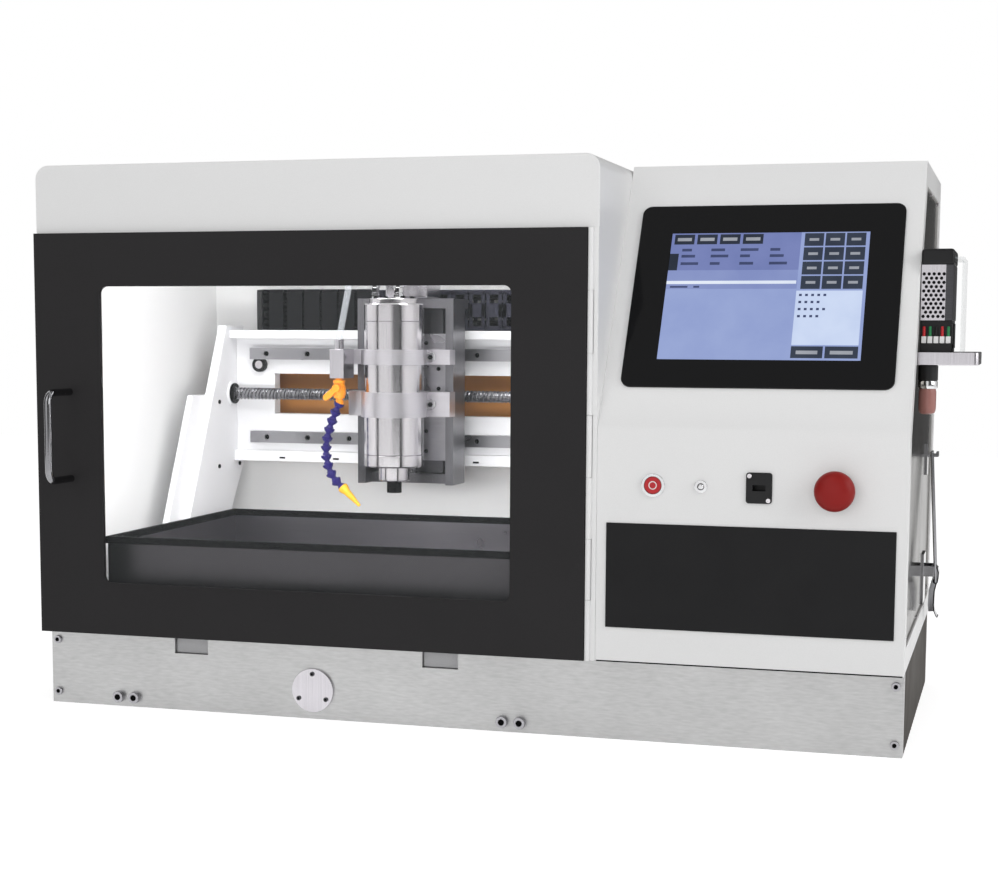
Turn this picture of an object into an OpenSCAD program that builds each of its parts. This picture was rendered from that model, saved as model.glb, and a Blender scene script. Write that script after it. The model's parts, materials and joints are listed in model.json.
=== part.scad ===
// Desktop enclosed machining center: fixed bed and tray, moving gantry, leaning control box.
// Millimetres, +Z up, origin on the floor under the middle of the cabinet, front towards -Y.

/* [Cabinet] */
// Width of the control box
control_w = 312; // [302:1:362]
// Depth of the cabinet
cab_d = 465; // [455:1:500]
// Height of the cabinet
cab_h = 602; // [590:1:660]
// Space between the gantry's side plates and the hood's outer faces
gantry_side_gap = 45; // [41:1:51]
// Thickness of the folded sheet
sheet_t = 2; // [1.5:0.1:2.5]
// Radius of the hood's two upper corners
hood_corner_r = 15; // [5:1:30]
// Height of the hood's band above the door
hood_band_h = 74; // [60:1:80]
// Width of the hood's frame around its front opening
hood_rim_w = 22; // [16:1:28]

/* [Base] */
// Height of the base
base_h = 85; // [82:1:95]
// Thickness of the front and rear plates
plate_t = 12; // [10:1:14]
// Set-back of the front and rear plates from the cabinet's faces
base_recess = 16; // [14:1:20]
// Thickness of the side plates
side_t = 16; // [12:1:20]
// Thickness of the floor plate
floor_t = 4; // [3:0.5:5]
// Width of a notch in the front plate's top edge
notch_w = 40; // [30:1:50]
// Depth of that notch
notch_h = 21; // [12:1:26]
// Distance between the two notches
notch_spread = 291; // [240:1:320]
// Diameter of the round cover over the screw's end
cover_d = 48; // [42:1:56]
// Thickness of that cover
cover_t = 3; // [2:0.5:5]
// Head diameter of the small screws
small_head_d = 9; // [7:0.5:11]
// Head diameter of the bar screws
bar_head_d = 13; // [10:0.5:13]
// Spacing of two bar screws in a pair
bar_screw_pitch = 19.5; // [16:0.5:24]

/* [Door] */
// Room at the hood's right edge for the door's hinge
hinge_room = 11; // [9:1:28]
// Thickness of the door panel
door_t = 5; // [4:0.5:6]
// Gap between the door and the hood
door_gap = 1.6; // [1.4:0.1:2]
// Width of the door's frame at each side of the window
door_side_rim = 79.5; // [70:0.5:110]
// Height of the door's frame above and below the window
door_rim = 58; // [49:1:80]
// Corner radius of the window
window_r = 8; // [4:1:16]
// Thickness of the window pane
pane_t = 3; // [2:0.5:4]
// Lap of the pane behind the door, on each side
pane_lap = 14; // [8:1:20]
// Distance between the handle's two legs
handle_pitch = 96; // [80:1:140]
// Stand-off of the handle
handle_stand = 48; // [35:1:60]
// Diameter of the handle's bar
handle_d = 8; // [6:0.5:11]
// Distance from the door's left edge to the handle
handle_inset = 41; // [30:1:50]
// Radius of the hinge knuckles
knuckle_r = 2.9; // [2.8:0.1:3.1]
// Radius of the hinge pin
pin_r = 1.2; // [1:0.1:1.6]

/* [Control box] */
// Height at which the front starts to lean back
knee_z = 327; // [315:1:335]
// How far the front leans back at the top
lean = 164; // [130:1:180]
// Width of the lip around the side panel
side_lip = 25; // [18:1:32]
// White margin at each side of the black panel
name_rim = 10.5; // [6:0.5:36]
// Height of the black panel
name_h = 108; // [80:1:112]
// Thickness of the black panel
name_t = 1.5; // [1:0.5:3]
// Height of the black panel's middle
name_z = 175; // [170:1:180]

/* [Screen] */
// White margin at each side of the screen's bezel
bezel_rim = 18; // [11:1:31]
// Height of the bezel along the leaning front
bezel_h = 220; // [200:1:240]
// How far the bezel stands out
bezel_t = 3; // [2:0.5:5]
// Corner radius of the bezel
bezel_r = 10; // [4:1:16]
// Width of the display
display_w = 206; // [180:1:220]
// Height of the display
display_h = 153; // [120:1:160]
// Thickness of the display sheet
display_t = 0.8; // [0.6:0.1:1.2]
// Depth of the housing behind the bezel
screen_depth = 32; // [20:1:45]

/* [Buttons] */
// Height of the row of buttons
button_z = 268.5; // [262:0.5:280]
// Distance from the control box's left edge to the red push button
power_in = 58.5; // [45:0.5:65]
// Distance from the red push button to the small one
start_pitch = 49; // [40:0.5:54]
// Distance from the small push button to the data socket
socket_pitch = 58.5; // [48:0.5:62]
// Distance from the data socket to the stop button
stop_pitch = 76; // [60:0.5:80]
// Flange diameter of the red push button
power_d = 24; // [20:1:28]
// Travel of the red push button
power_travel = 2; // [1:0.5:2.5]
// Flange diameter of the small push button
start_d = 13; // [11:0.5:16]
// Travel of the small push button
start_travel = 1.5; // [1:0.5:2]
// Width of the data socket's plate
socket_w = 26; // [24:1:30]
// Height of the data socket's plate
socket_h = 31; // [28:1:34]
// Diameter of the stop button's head
stop_d = 40; // [34:1:46]
// Travel of the stop button
stop_travel = 5; // [3:0.5:6]

/* [Gantry] */
// Clear width between the gantry's side plates
gantry_w = 524; // [520:1:532]
// Thickness of the gantry's side plates
gantry_t = 12; // [10:1:14]
// Height of the gantry's top edge
gantry_z = 430; // [426:1:436]
// Distance from the beam's front face to the cabinet's back
beam_setback = 60; // [59:0.5:64]
// Thickness of the beam
beam_t = 18; // [14:1:19]
// Lower edge of the beam
beam_z0 = 253; // [246:1:258]
// Upper edge of the beam
beam_z1 = 414; // [412:1:417]
// Height of the opening in the beam
beam_slot_h = 52; // [40:1:60]
// Closed length of the beam at each end of the opening
beam_end = 54; // [45:1:70]
// Depth of the gantry's cross plate
foot_d = 126; // [124:1:132]
// Thickness of the cross plate
foot_t = 12; // [10:1:14]

/* [Linear axes] */
// Width of every rail
rail_w = 15; // [12:0.5:16]
// Height of every rail
rail_h = 12.5; // [11:0.5:14]
// Width of a runner block
block_w = 34; // [30:1:36]
// Length of a Y runner block
block_l = 56; // [46:1:58]
// Length of an X or Z runner block
z_block_l = 46; // [36:1:47]
// Height of a runner block's top above the rail's seat
block_h = 30; // [28:0.5:32]
// Gap between a runner block and the rail's seat
block_lift = 4.3; // [3:0.1:6]
// Height of the upper X rail's middle
x_rail_hi_z = 393.5; // [388:0.5:394]
// Height of the lower X rail's middle
x_rail_lo_z = 285; // [280:0.5:292]
// Radius of the X and Y ball screws
screw_r = 8; // [6:0.5:8.5]
// Height of the X ball screw
x_screw_z = 341.5; // [336:0.5:346]
// Height of the Y ball screw
y_screw_z = 32; // [31:0.5:33]
// Radius of the Z screw
z_screw_r = 6; // [5:0.5:7]
// Spread of the two Y rails
y_rail_spread = 450; // [430:1:470]
// Spread of the two Z rails
z_rail_spread = 60; // [59:0.5:61]
// Width of a bar under a Y rail
bar_w = 40; // [36:1:48]
// Height of that bar
bar_h = 14; // [13:0.5:15]
// Side of the Y and Z motors
motor_w = 55; // [42:1:55]
// Length of the Y and Z motors
motor_l = 56; // [50:1:57]
// Side of the X motor
x_motor_w = 42; // [36:1:44]
// Length of the X motor
x_motor_l = 38; // [34:1:40]

/* [Carriages] */
// Place of the spindle to the right of the work bay's middle
spindle_off = 4; // [-20:1:20]
// Width of the X carriage plate and the Z frame
frame_w = 124; // [122:1:130]
// Thickness of the carriage plates
slide_t = 14; // [12:1:15]
// Thickness of the Z frame's side plates
cheek_t = 10; // [8:0.5:10]
// Depth of the Z frame's side plates
cheek_d = 48; // [40:1:48]
// Lower edge of the Z frame
frame_z0 = 235; // [228:1:236]
// Upper edge of the Z frame
frame_z1 = 451; // [450:1:456]
// Thickness of the Z frame's end plates
end_t = 12; // [10:1:12]
// Height of the spindle plate
spindle_plate_h = 155; // [145:1:160]
// Travel of the spindle below its rest
z_down = 50; // [30:1:50]
// Travel of the spindle above its rest
z_up = 30; // [15:1:30]
// Lower edge of the spindle plate
spindle_plate_z = 265; // [262:1:270]

/* [Spindle] */
// Diameter of the spindle housing
spindle_d = 72; // [62:0.5:72]
// Lower end of the spindle housing
spindle_z0 = 260; // [256:1:264]
// Upper end of the spindle housing
spindle_z1 = 456; // [446:1:462]
// Diameter of the spindle's nose
nose_d = 38; // [30:1:44]
// Length of the nose
nose_l = 18; // [12:1:22]
// Radius of the turning shaft
shaft_r = 8; // [6:0.5:9]
// Diameter of the collet nut
nut_d = 18; // [18:0.5:22]
// Height of the collet nut
nut_h = 13.5; // [10:0.5:16]
// Radius of the collet's bore
collet_r = 3; // [1.5:0.25:3.5]
// Depth of the collet's bore
collet_l = 14; // [10:1:18]
// Wall of the clamp rings
clamp_wall = 4; // [3:0.5:8]
// Full width of the clamps' ears
clamp_w = 130; // [122:1:134]
// Lower edge of the lower clamp
clamp_lo_z = 320; // [312:1:326]
// Height of the lower clamp
clamp_lo_h = 30; // [22:1:34]
// Lower edge of the upper clamp
clamp_hi_z = 383; // [378:1:388]
// Height of the upper clamp
clamp_hi_h = 18; // [12:1:22]

/* [Bed and tray] */
// Space between the bed and the gantry's side plates
bed_gap = 22; // [12:1:32]
// Thickness of the bed
bed_t = 20; // [15:1:24]
// Width of the tray
tray_w = 508; // [490:1:510]
// Depth of the tray
tray_d = 346; // [320:1:350]
// Height of the tray
tray_h = 84; // [70:1:86]
// Thickness of the tray's sheet
tray_t = 1.5; // [1:0.1:2]
// Height of the edge trim
trim_h = 8; // [6:0.5:10]
// Wall of the edge trim
trim_wall = 2; // [1.5:0.1:2.2]
// Width of the work table
table_w = 400; // [340:1:440]
// Number of bars in the work table
table_bars = 5; // [3:1:6]
// Width of one bar of the work table
table_bar_w = 40; // [34:1:44]
// Slot between two bars
table_slot = 9; // [8:0.5:11]
// Thickness of the work table
table_t = 16; // [12:1:20]

/* [Coolant] */
// Diameter of the jointed hose at a link's mouth
link_d = 13; // [10:0.5:14]
// Number of links in the jointed hose
link_count = 10; // [8:1:11]
// Length of the nozzle
nozzle_l = 32; // [24:1:36]
// Diameter of the nozzle's mouth
nozzle_d = 4; // [3:0.5:6]
// Diameter of the clear feed hose
feed_d = 8; // [6:0.5:9]

/* [Side shelf] */
// How far the shelf stands out
shelf_w = 62; // [58:1:75]
// Depth of the shelf
shelf_d = 110; // [100:1:130]
// Thickness of the shelf
shelf_t = 13; // [8:0.5:15]
// Height of the shelf's top
shelf_z = 404; // [398:1:410]
// Width of the power supply
supply_w = 33; // [28:1:38]
// Depth of the power supply
supply_d = 80; // [60:1:90]
// Height of the power supply
supply_h = 104; // [96:1:116]
// Thickness of the clear guard
guard_t = 2; // [1.5:0.1:3]
// Diameter of the cup under the shelf
cup_d = 14; // [12:0.5:20]
// Height of the cup under the shelf
cup_h = 50; // [44:1:80]

/* [Latch] */
// Place of the latch along the depth
latch_y = 115; // [90:1:130]
// Height of the lever's pivot
latch_z = 150; // [140:1:160]
// Height of the keeper's shelf
keeper_z = 285; // [260:1:300]
// Diameter of the bail's wire
bail_d = 3; // [2.5:0.1:3.2]
// Width between the bail's legs
bail_w = 25; // [25:0.5:27]
// Length of the lever's tail
lever_l = 54; // [40:1:60]

/* [Hidden] */
$fn = 64;

// Overrun of every cut past the face that it leaves
over = 1;
// Gap kept between neighbouring parts
gap = 1;
// Radial running clearance of a shaft in its bore
run_clear = 0.05;
// Sliding clearance between bodies that pass each other
slide_clear = 0.4;

// Cabinet places
hood_w = gantry_w + 2 * (gantry_t + gantry_side_gap);
cab_w = hood_w + control_w;
left_x = -cab_w / 2;
right_x = cab_w / 2;
front_y = -cab_d / 2;
back_y = cab_d / 2;
split_x = left_x + hood_w;
bay_x = left_x + hood_w / 2;
hood_h = cab_h - base_h;
plate_y = front_y + base_recess;
plate_in = -(plate_y + plate_t);
hood_flange_lap = 4.5;
hood_flange_y = plate_y + hood_flange_lap;
both = [-1, 1];

// Base details
small_head_h = 3;
bar_head_h = 6;
socket_share = 0.55;
socket_depth_share = 0.6;
corner_screw_z0 = 13;
corner_screw_z1 = 72.5;
bar_screw_z = floor_t + bar_h / 2;
cover_screw_d = 5;
cover_screw_h = 1.5;
cover_screw_share = 0.38;

// Door places
door_h = cab_h - base_h - hood_band_h;
door_w = hood_w - hinge_room;
window_w = door_w - 2 * door_side_rim;
window_h = door_h - 2 * door_rim;
door_mid_x = left_x + door_w / 2;
door_mid_z = base_h + door_h / 2;
door_back = front_y - door_gap;
door_front = door_back - door_t;
door_right = left_x + door_w;
hinge_x = door_right + knuckle_r + slide_clear;
hinge_y = door_back - door_t / 2;
leaf_t = door_gap - slide_clear - run_clear;
leaf_w = 20;
knuckle_count = 7;
knuckle_l = door_h / knuckle_count;
hood_open_x0 = left_x + hood_rim_w;
hood_open_x1 = split_x - hood_rim_w - knuckle_r;
hood_open_z0 = base_h + hood_rim_w;
hood_open_z1 = base_h + door_h - hood_rim_w / 2;
handle_x = left_x + handle_inset;
handle_bend_r = 12;

// Control box places
lean_a = atan2(lean, cab_h - knee_z);
control_mid_x = (split_x + right_x) / 2;
name_w = control_w - 2 * name_rim;
bezel_w = control_w - 2 * bezel_rim;
panel_lap = 8;
bezel_up = 156;
display_up = 154.5;
display_r = 2;
housing_lap = 18;
housing_w = bezel_w - 2 * housing_lap;
housing_h = bezel_h - 2 * housing_lap;
power_x = split_x + power_in;
start_x = power_x + start_pitch;
socket_x = start_x + socket_pitch;
stop_x = socket_x + stop_pitch;
barrel_l = 20;
flange_t = 2.5;
flange_lip = 2;
cap_lip = 3.5;
cap_proud = 3.5;
cap_in = 8;
cap_chamfer = 1;
socket_t = 2;
socket_r = 3;
socket_body_d = 22;
port_w = 13;
port_h = 6;
port_depth = 9;
socket_screw_d = 4;
socket_screw_h = 1;
stop_collar_d = 28;
stop_collar_h = 8;
stop_barrel_d = 22;
stop_stem_r = 6;
stop_head_h = 15;
stop_grip = 8;
stem_tail = 12;
stop_gap = 1;
stop_crown_share = 0.35;
stop_top_share = 0.8;
stop_under_y = front_y - stop_collar_h - stop_travel - stop_gap;

// Gantry places, at rest with the gantry at the back
beam_y = back_y - beam_setback;
gantry_x0 = bay_x - gantry_w / 2;
gantry_x1 = bay_x + gantry_w / 2;
bed_w = gantry_w - 2 * bed_gap;
bar_z1 = floor_t + bar_h;
foot_z0 = bar_z1 + block_h;
foot_z1 = foot_z0 + foot_t;
foot_motor_gap = 2.5;
motor_front = plate_in - motor_l;
foot_y1 = motor_front - foot_motor_gap;
foot_y0 = foot_y1 - foot_d;
side_knee_z = 175;
side_top_y0 = beam_y - block_h;
side_rear_lap = 5.5;
side_rear_y = beam_y + beam_t + side_rear_lap;
side_heel_z = 180;
side_rib_t = 8;
side_rib_reach = 35;
side_rib_lap = 10;
side_rib_z = 341;
side_rib_run = (side_rib_z - side_knee_z) * (side_top_y0 - foot_y0) / (gantry_z - side_knee_z);
stub_r = 6;
tip_r = 4;
tip_l = 12;
boss_r = 15;
boss_t = 3;
x_screw_y = beam_y - (block_h + block_lift) / 2;
x_rail_inset = 24;
hole_r = 3.4;
hole_pitch = 57.3;
hole_lead = 23.4;
hole_depth = 5;
ledge_d = 10;
ledge_h = 14;
nut_block_l = 50;
nut_wall = 12;
nut_gap_y = 2.5;
screw_end_gap = 0.3;
foot_runner_gap = 4;

// Drag chain laid on its side on a tray over the beam
chain_tray_t = 10;
chain_tray_z = beam_z1 + chain_tray_t;
chain_h = 52;
chain_t = 22;
chain_gap = 0.3;
chain_y0 = beam_y - chain_t;
chain_bend_r = 34;
chain_y1 = chain_y0 + 2 * chain_bend_r - chain_t;
chain_in = 29;
chain_mid_x = gantry_x0 + chain_in + chain_bend_r;
chain_z0 = chain_tray_z + chain_gap;
chain_mid_y = chain_y0 + chain_bend_r;
chain_wall = 2.5;
chain_hole = 10.5;
chain_pitch = 22.6;
chain_row_share = 0.29;
chain_links = 19;
chain_front_links = 6;
chain_tray_y1 = chain_y1 + chain_t;

// Carriage places
spindle_x = bay_x + spindle_off;
x_plate_y = beam_y - block_h - slide_t;
spindle_plate_y = x_plate_y - block_h - slide_t;
z_screw_y = x_plate_y - (block_h + block_lift) / 2;
spindle_plate_w = frame_w - 2 * cheek_t - 2 * slide_clear;
cheek_y = x_plate_y - cheek_d;
plate_inset = 6;
runner_inset = 13;
end_gap = 5.5;
z_block_lo = frame_z0 + end_t + z_down + gap;
z_block_hi = frame_z1 - z_up - gap - z_block_l;
z_nut_z = (z_block_lo + z_block_hi + z_block_l) / 2;
z_nut_wall = 5.5;
spindle_gap = 8.5;
spindle_y = spindle_plate_y - spindle_gap - spindle_d / 2;
spindle_r = spindle_d / 2;
clamp_back_w = 96;
clamp_ear_y = cheek_y - 2 * gap;
clamp_ear_t = 22;
clamp_front_y = clamp_ear_y - clamp_ear_t;
clamp_screw_d = 10;
clamp_screw_h = 3;
clamp_screw_in = 23.5;
fitting_d = 11;
fitting_h = 22;
fitting_off = 24;
cap_d = 60;
cap_h = 6;
shaft_up = 60;
shaft_gap = 5;
nut_gap = 0.5;
nut_z1 = spindle_z0 - nose_l - nut_gap;
nut_z0 = nut_z1 - nut_h;
nut_slots = 6;
nut_slot_w = 3;
nut_slot_d = 1.2;

// Bed and tray places
tray_z = base_h + bed_t;
tray_y0 = plate_y + plate_t + 2 * gap;
tray_z1 = tray_z + tray_h;
table_z = tray_z + tray_t;
table_d = table_bars * table_bar_w + (table_bars - 1) * table_slot;
table_y0 = tray_y0 + (tray_d - table_d) / 2;

// Coolant places: the jointed hose hangs in an upright plane and curls towards the tool
coolant_fwd = 10;
coolant_y = spindle_y - coolant_fwd;
coolant_w = 18;
coolant_h = 35;
coolant_lap = 7;
coolant_z = clamp_hi_z + clamp_hi_h - coolant_h;
coolant_x1 = spindle_x - clamp_w / 2 + coolant_lap;
coolant_x0 = coolant_x1 - coolant_w;
coolant_mid_x = (coolant_x0 + coolant_x1) / 2;
valve_d = 15;
valve_h = 24;
neck_h = 6;
stem_r = 2.5;
stem_in = 4;
lever_hub_r = 5;
lever_hub_t = 5;
lever_arm = 18;
lever_arm_w = 6;
lever_tilt = 40;
link_pitch_share = 0.86;
link_ball_share = 0.4;
link_neck_share = 0.31;
link_cup_share = 0.9;
link_pitch = link_d * link_pitch_share;
link_ball_r = link_d * link_ball_share;
ball_gap = 0.3;
hose_x = coolant_mid_x;
hose_z = coolant_z - valve_h - neck_h;
hose_a0 = -25;
hose_a1 = 57;
hose_curl_share = 2;
nozzle_a = 45;
feed_stub = 12;
feed_stub_d = 11;
feed_z0 = coolant_z + coolant_h + feed_stub;
feed_z1 = spindle_z1 + cap_h + fitting_h;
feed_end_x = spindle_x + fitting_d / 2;
feed_span = norm([feed_end_x - coolant_mid_x, spindle_y - coolant_y]);
feed_turn = atan2(spindle_y - coolant_y, feed_end_x - coolant_mid_x);

// Angle of a link from straight down, and the place of its upper ball
function hose_a(i) = hose_a0 + (hose_a1 - hose_a0) * pow((i + 0.5) / link_count, hose_curl_share);
function hose_pt(i) = i == 0 ? [hose_x, hose_z]
    : hose_pt(i - 1) + link_pitch * [sin(hose_a(i - 1)), -cos(hose_a(i - 1))];
hose_end = hose_pt(link_count);

// Shelf places
panel_out = right_x - sheet_t;
shelf_in = 82;
shelf_y = front_y + shelf_in;
shelf_r = 5;
supply_in = 8;
supply_gap = 2.4;
supply_x0 = panel_out + supply_gap;
supply_y0 = shelf_y + supply_in;
supply_cap_h = 17;
terminal_h = 32;
terminal_step = 6;
terminal_count = 4;
vent_r = 1.9;
vent_pitch = 5.2;
vent_cols = 3;
vent_rows = 9;
vent_depth = 6;
vent_in = 5;
guard_in = 17;
guard_x = panel_out + shelf_w - guard_in - guard_t;
guard_z1 = shelf_z + supply_h - supply_cap_h / 2;
cup_y = shelf_y + cup_d;
cup_gap = 4;
cup_x = panel_out + cup_d / 2 + cup_gap;
cup_head_share = 0.22;
cup_ring_share = 0.14;
cup_ring_lip = 1;

// Latch places
latch_base_w = 40;
latch_base_h = 58;
latch_base_t = 2;
latch_stand = 10;
latch_x = panel_out + latch_stand;
latch_pin_r = 1.5;
latch_ear_t = 2;
latch_ear_h = 12;
latch_top = 20;
pin_gap = 0.1;
ear_in = bail_w / 2 + bail_d / 2 + 2 * slide_clear;
lever_w = bail_w - bail_d - 3 * gap;
lever_thick = 5;
pivot_r = 4;
lug_w = 8;
bail_drop = 12;
bail_out = 5;
bail_x = latch_x + bail_out;
bail_z0 = latch_z - bail_drop;
bail_z1 = keeper_z + bail_d / 2 + slide_clear;
bail_top_out = 6.5;
bail_top_x = panel_out + bail_top_out;
peg_l = 4;
keeper_t = 3;
keeper_d = 14;
keeper_tip_h = 2.5;
keeper_tip_t = 2.5;
keeper_w = bail_w - bail_d - 2 * gap;
keeper_plate_h = 24;

// Inlet at the back of the control box
inlet_w = 28;
inlet_h = 48;
inlet_t = 3;
inlet_depth = 26;
inlet_in = 70;
inlet_up = 60;
inlet_x = right_x - inlet_in;
inlet_z = base_h + inlet_up;
inlet_r = 4;
inlet_lip = 3;
inlet_well_w = 20;
inlet_well_h = 26;
inlet_well_d = 16;

// Brown liner on the hood's back wall
liner_t = 2;
liner_h = 160;
liner_z = beam_z0;

// Shared shapes
module block(x0, x1, y0, y1, z0, z1) {
    translate([x0, y0, z0]) cube([x1 - x0, y1 - y0, z1 - z0]);
}

module rod_x(r, x0, x1, y, z) {
    translate([x0, y, z]) rotate([0, 90, 0]) cylinder(r = r, h = x1 - x0);
}

module rod_y(r, y0, y1, x, z) {
    translate([x, y1, z]) rotate([90, 0, 0]) cylinder(r = r, h = y1 - y0);
}

module rod_z(r, z0, z1, x, y) {
    translate([x, y, z0]) cylinder(r = r, h = z1 - z0);
}

module round_rect(w, h, r) {
    square([w - 2 * r, h], center = true);
    square([w, h - 2 * r], center = true);
    for (sx = both, sz = both) {
        translate([sx * (w / 2 - r), sz * (h / 2 - r)]) circle(r = r);
    }
}

// A rounded plate that faces the front: its back lies on y, and it stands out by t
module front_plate(x, y, z, w, h, t, r) {
    translate([x, y, z]) rotate([90, 0, 0]) linear_extrude(t) round_rect(w, h, r);
}

// A socket-head screw whose head stands out of a front face at y
module front_screw(x, y, z, d, h) {
    difference() {
        rod_y(d / 2, y - h, y, x, z);
        translate([x, y - h + h * socket_depth_share, z]) rotate([90, 0, 0])
            cylinder(d = d * socket_share, h = h, $fn = 6);
    }
}

// A runner block on a rail along x: the rail's seat is at y = 0 and the block lies on the -y side
module runner(l) {
    difference() {
        block(-l / 2, l / 2, -block_h, -block_lift, -block_w / 2, block_w / 2);
        block(-l / 2 - over, l / 2 + over, -rail_h - slide_clear, 0,
            -rail_w / 2 - slide_clear, rail_w / 2 + slide_clear);
    }
}

// A row of screw holes in a rail, drilled from its face at y
module rail_holes(x0, x1, y, z) {
    count = floor((x1 - x0 - 2 * hole_lead) / hole_pitch) + 1;
    for (i = [0:count - 1]) {
        rod_y(hole_r, y - over, y + hole_depth, x0 + hole_lead + i * hole_pitch, z);
    }
}

// Base
module base_front_plate() {
    color("lightgray") difference() {
        block(left_x, right_x, plate_y, plate_y + plate_t, 0, base_h);
        for (s = both) {
            block(bay_x + s * notch_spread / 2 - notch_w / 2, bay_x + s * notch_spread / 2 + notch_w / 2,
                plate_y - over, plate_y + plate_t + over, base_h - notch_h, base_h + over);
        }
        rod_y(stub_r + run_clear, plate_y - over, plate_y + plate_t + over, bay_x, y_screw_z);
    }
}

module base_rear_plate() {
    color("lightgray") block(left_x, right_x, plate_in, plate_in + plate_t, 0, base_h);
}

module base_sides() {
    color("silver") for (s = both) {
        x = s > 0 ? right_x - side_t : left_x;
        block(x, x + side_t, -plate_in, plate_in, 0, base_h);
    }
}

module base_floor() {
    color("gray") block(left_x + side_t, right_x - side_t, -plate_in, plate_in, 0, floor_t);
}

module base_screws() {
    color("dimgray") {
        for (x = [left_x + side_t / 2, right_x - side_t / 2], z = [corner_screw_z0, corner_screw_z1]) {
            front_screw(x, plate_y, z, small_head_d, small_head_h);
            mirror([0, 1, 0]) front_screw(x, plate_y, z, small_head_d, small_head_h);
        }
        for (s = both, t = both) {
            front_screw(bay_x + s * y_rail_spread / 2 + t * bar_screw_pitch / 2, plate_y, bar_screw_z,
                bar_head_d, bar_head_h);
        }
        for (a = [90, 210, 330]) {
            front_screw(bay_x + cover_d * cover_screw_share * cos(a), plate_y - cover_t,
                y_screw_z + cover_d * cover_screw_share * sin(a), cover_screw_d, cover_screw_h);
        }
    }
}

module screw_end_cover() {
    color("silver") rod_y(cover_d / 2, plate_y - cover_t, plate_y, bay_x, y_screw_z);
}

module y_rails() {
    color("silver") for (s = both) {
        x = bay_x + s * y_rail_spread / 2;
        block(x - bar_w / 2, x + bar_w / 2, -plate_in, plate_in, floor_t, bar_z1);
        block(x - rail_w / 2, x + rail_w / 2, -plate_in, plate_in, bar_z1, bar_z1 + rail_h);
    }
}

module y_motor() {
    color([0.15, 0.15, 0.16]) difference() {
        block(bay_x - motor_w / 2, bay_x + motor_w / 2, motor_front, plate_in,
            y_screw_z - motor_w / 2, y_screw_z + motor_w / 2);
        rod_y(tip_r + run_clear, motor_front - over, motor_front + tip_l + over, bay_x, y_screw_z);
    }
}

// Bed, tray and work table
module bed() {
    y0 = hood_flange_y + slide_clear;
    half = notch_w / 2 - slide_clear;
    color("silver") {
        block(bay_x - bed_w / 2, bay_x + bed_w / 2, y0, -y0, base_h, tray_z);
        for (s = both) {
            x = bay_x + s * notch_spread / 2;
            block(x - half, x + half, y0, plate_y + plate_t, base_h - notch_h + slide_clear, base_h + over);
        }
    }
}

module tray() {
    color("lightsteelblue") difference() {
        block(bay_x - tray_w / 2, bay_x + tray_w / 2, tray_y0, tray_y0 + tray_d, tray_z, tray_z1);
        block(bay_x - tray_w / 2 + tray_t, bay_x + tray_w / 2 - tray_t, tray_y0 + tray_t,
            tray_y0 + tray_d - tray_t, tray_z + tray_t, tray_z1 + over);
    }
}

module tray_trim() {
    z0 = tray_z1 - trim_h + trim_wall;
    x0 = bay_x - tray_w / 2;
    x1 = bay_x + tray_w / 2;
    y1 = tray_y0 + tray_d;
    inner = tray_t + trim_wall;
    color([0.06, 0.06, 0.06]) difference() {
        block(x0 - trim_wall, x1 + trim_wall, tray_y0 - trim_wall, y1 + trim_wall, z0, tray_z1 + trim_wall);
        block(x0 + inner, x1 - inner, tray_y0 + inner, y1 - inner, z0 - over, tray_z1 + trim_wall + over);
        difference() {
            block(x0, x1, tray_y0, y1, z0 - over, tray_z1);
            block(x0 + tray_t, x1 - tray_t, tray_y0 + tray_t, y1 - tray_t, z0 - 2 * over, tray_z1 + over);
        }
    }
}

module work_table() {
    color("silver") for (i = [0:table_bars - 1]) {
        y = table_y0 + i * (table_bar_w + table_slot);
        block(bay_x - table_w / 2, bay_x + table_w / 2, y, y + table_bar_w, table_z, table_z + table_t);
    }
}

// Hood
module hood_outline(inset) {
    w = hood_w - 2 * inset;
    h = hood_h - inset;
    r = hood_corner_r - inset;
    translate([bay_x - w / 2, 0]) square([w, h - r]);
    translate([bay_x - w / 2 + r, 0]) square([w - 2 * r, h]);
    for (s = both) {
        translate([bay_x + s * (w / 2 - r), h - r]) circle(r = r);
    }
}

module hood_prism(inset, y0, y1) {
    translate([0, y1, base_h]) rotate([90, 0, 0]) linear_extrude(y1 - y0) hood_outline(inset);
}

module hood_shell() {
    color("white") difference() {
        hood_prism(0, front_y, back_y);
        difference() {
            hood_prism(sheet_t, front_y + sheet_t, back_y - sheet_t);
            for (s = both) {
                y = s > 0 ? -hood_flange_y : front_y;
                block(left_x, split_x, y, y + base_recess + hood_flange_lap, base_h, base_h + sheet_t);
            }
        }
        block(left_x + sheet_t, split_x - sheet_t, hood_flange_y, -hood_flange_y,
            base_h - over, base_h + over);
        block(hood_open_x0, hood_open_x1, front_y - over, front_y + sheet_t + over,
            hood_open_z0, hood_open_z1);
    }
}

module rear_liner() {
    color("peru") block(gantry_x0, gantry_x1, back_y - sheet_t - liner_t, back_y - sheet_t,
        liner_z, liner_z + liner_h);
}

// The hinge knuckles alternate: even ones belong to the hood, odd ones to the door
module knuckle(i) {
    z = base_h + i * knuckle_l;
    rod_z(knuckle_r, z + slide_clear / 2, z + knuckle_l - slide_clear / 2, hinge_x, hinge_y);
}

module hinge_hood_leaf() {
    web_y = hinge_y + knuckle_r - leaf_t;
    color("white") {
        rod_z(pin_r, base_h + slide_clear / 2, base_h + door_h - slide_clear / 2, hinge_x, hinge_y);
        block(hinge_x + knuckle_r + slide_clear, split_x, web_y, front_y, base_h, base_h + door_h);
        for (i = [0:2:knuckle_count - 1]) {
            z = base_h + i * knuckle_l;
            knuckle(i);
            block(hinge_x, hinge_x + knuckle_r + 2 * slide_clear, web_y, front_y - slide_clear,
                z + slide_clear / 2, z + knuckle_l - slide_clear / 2);
        }
    }
}

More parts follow.
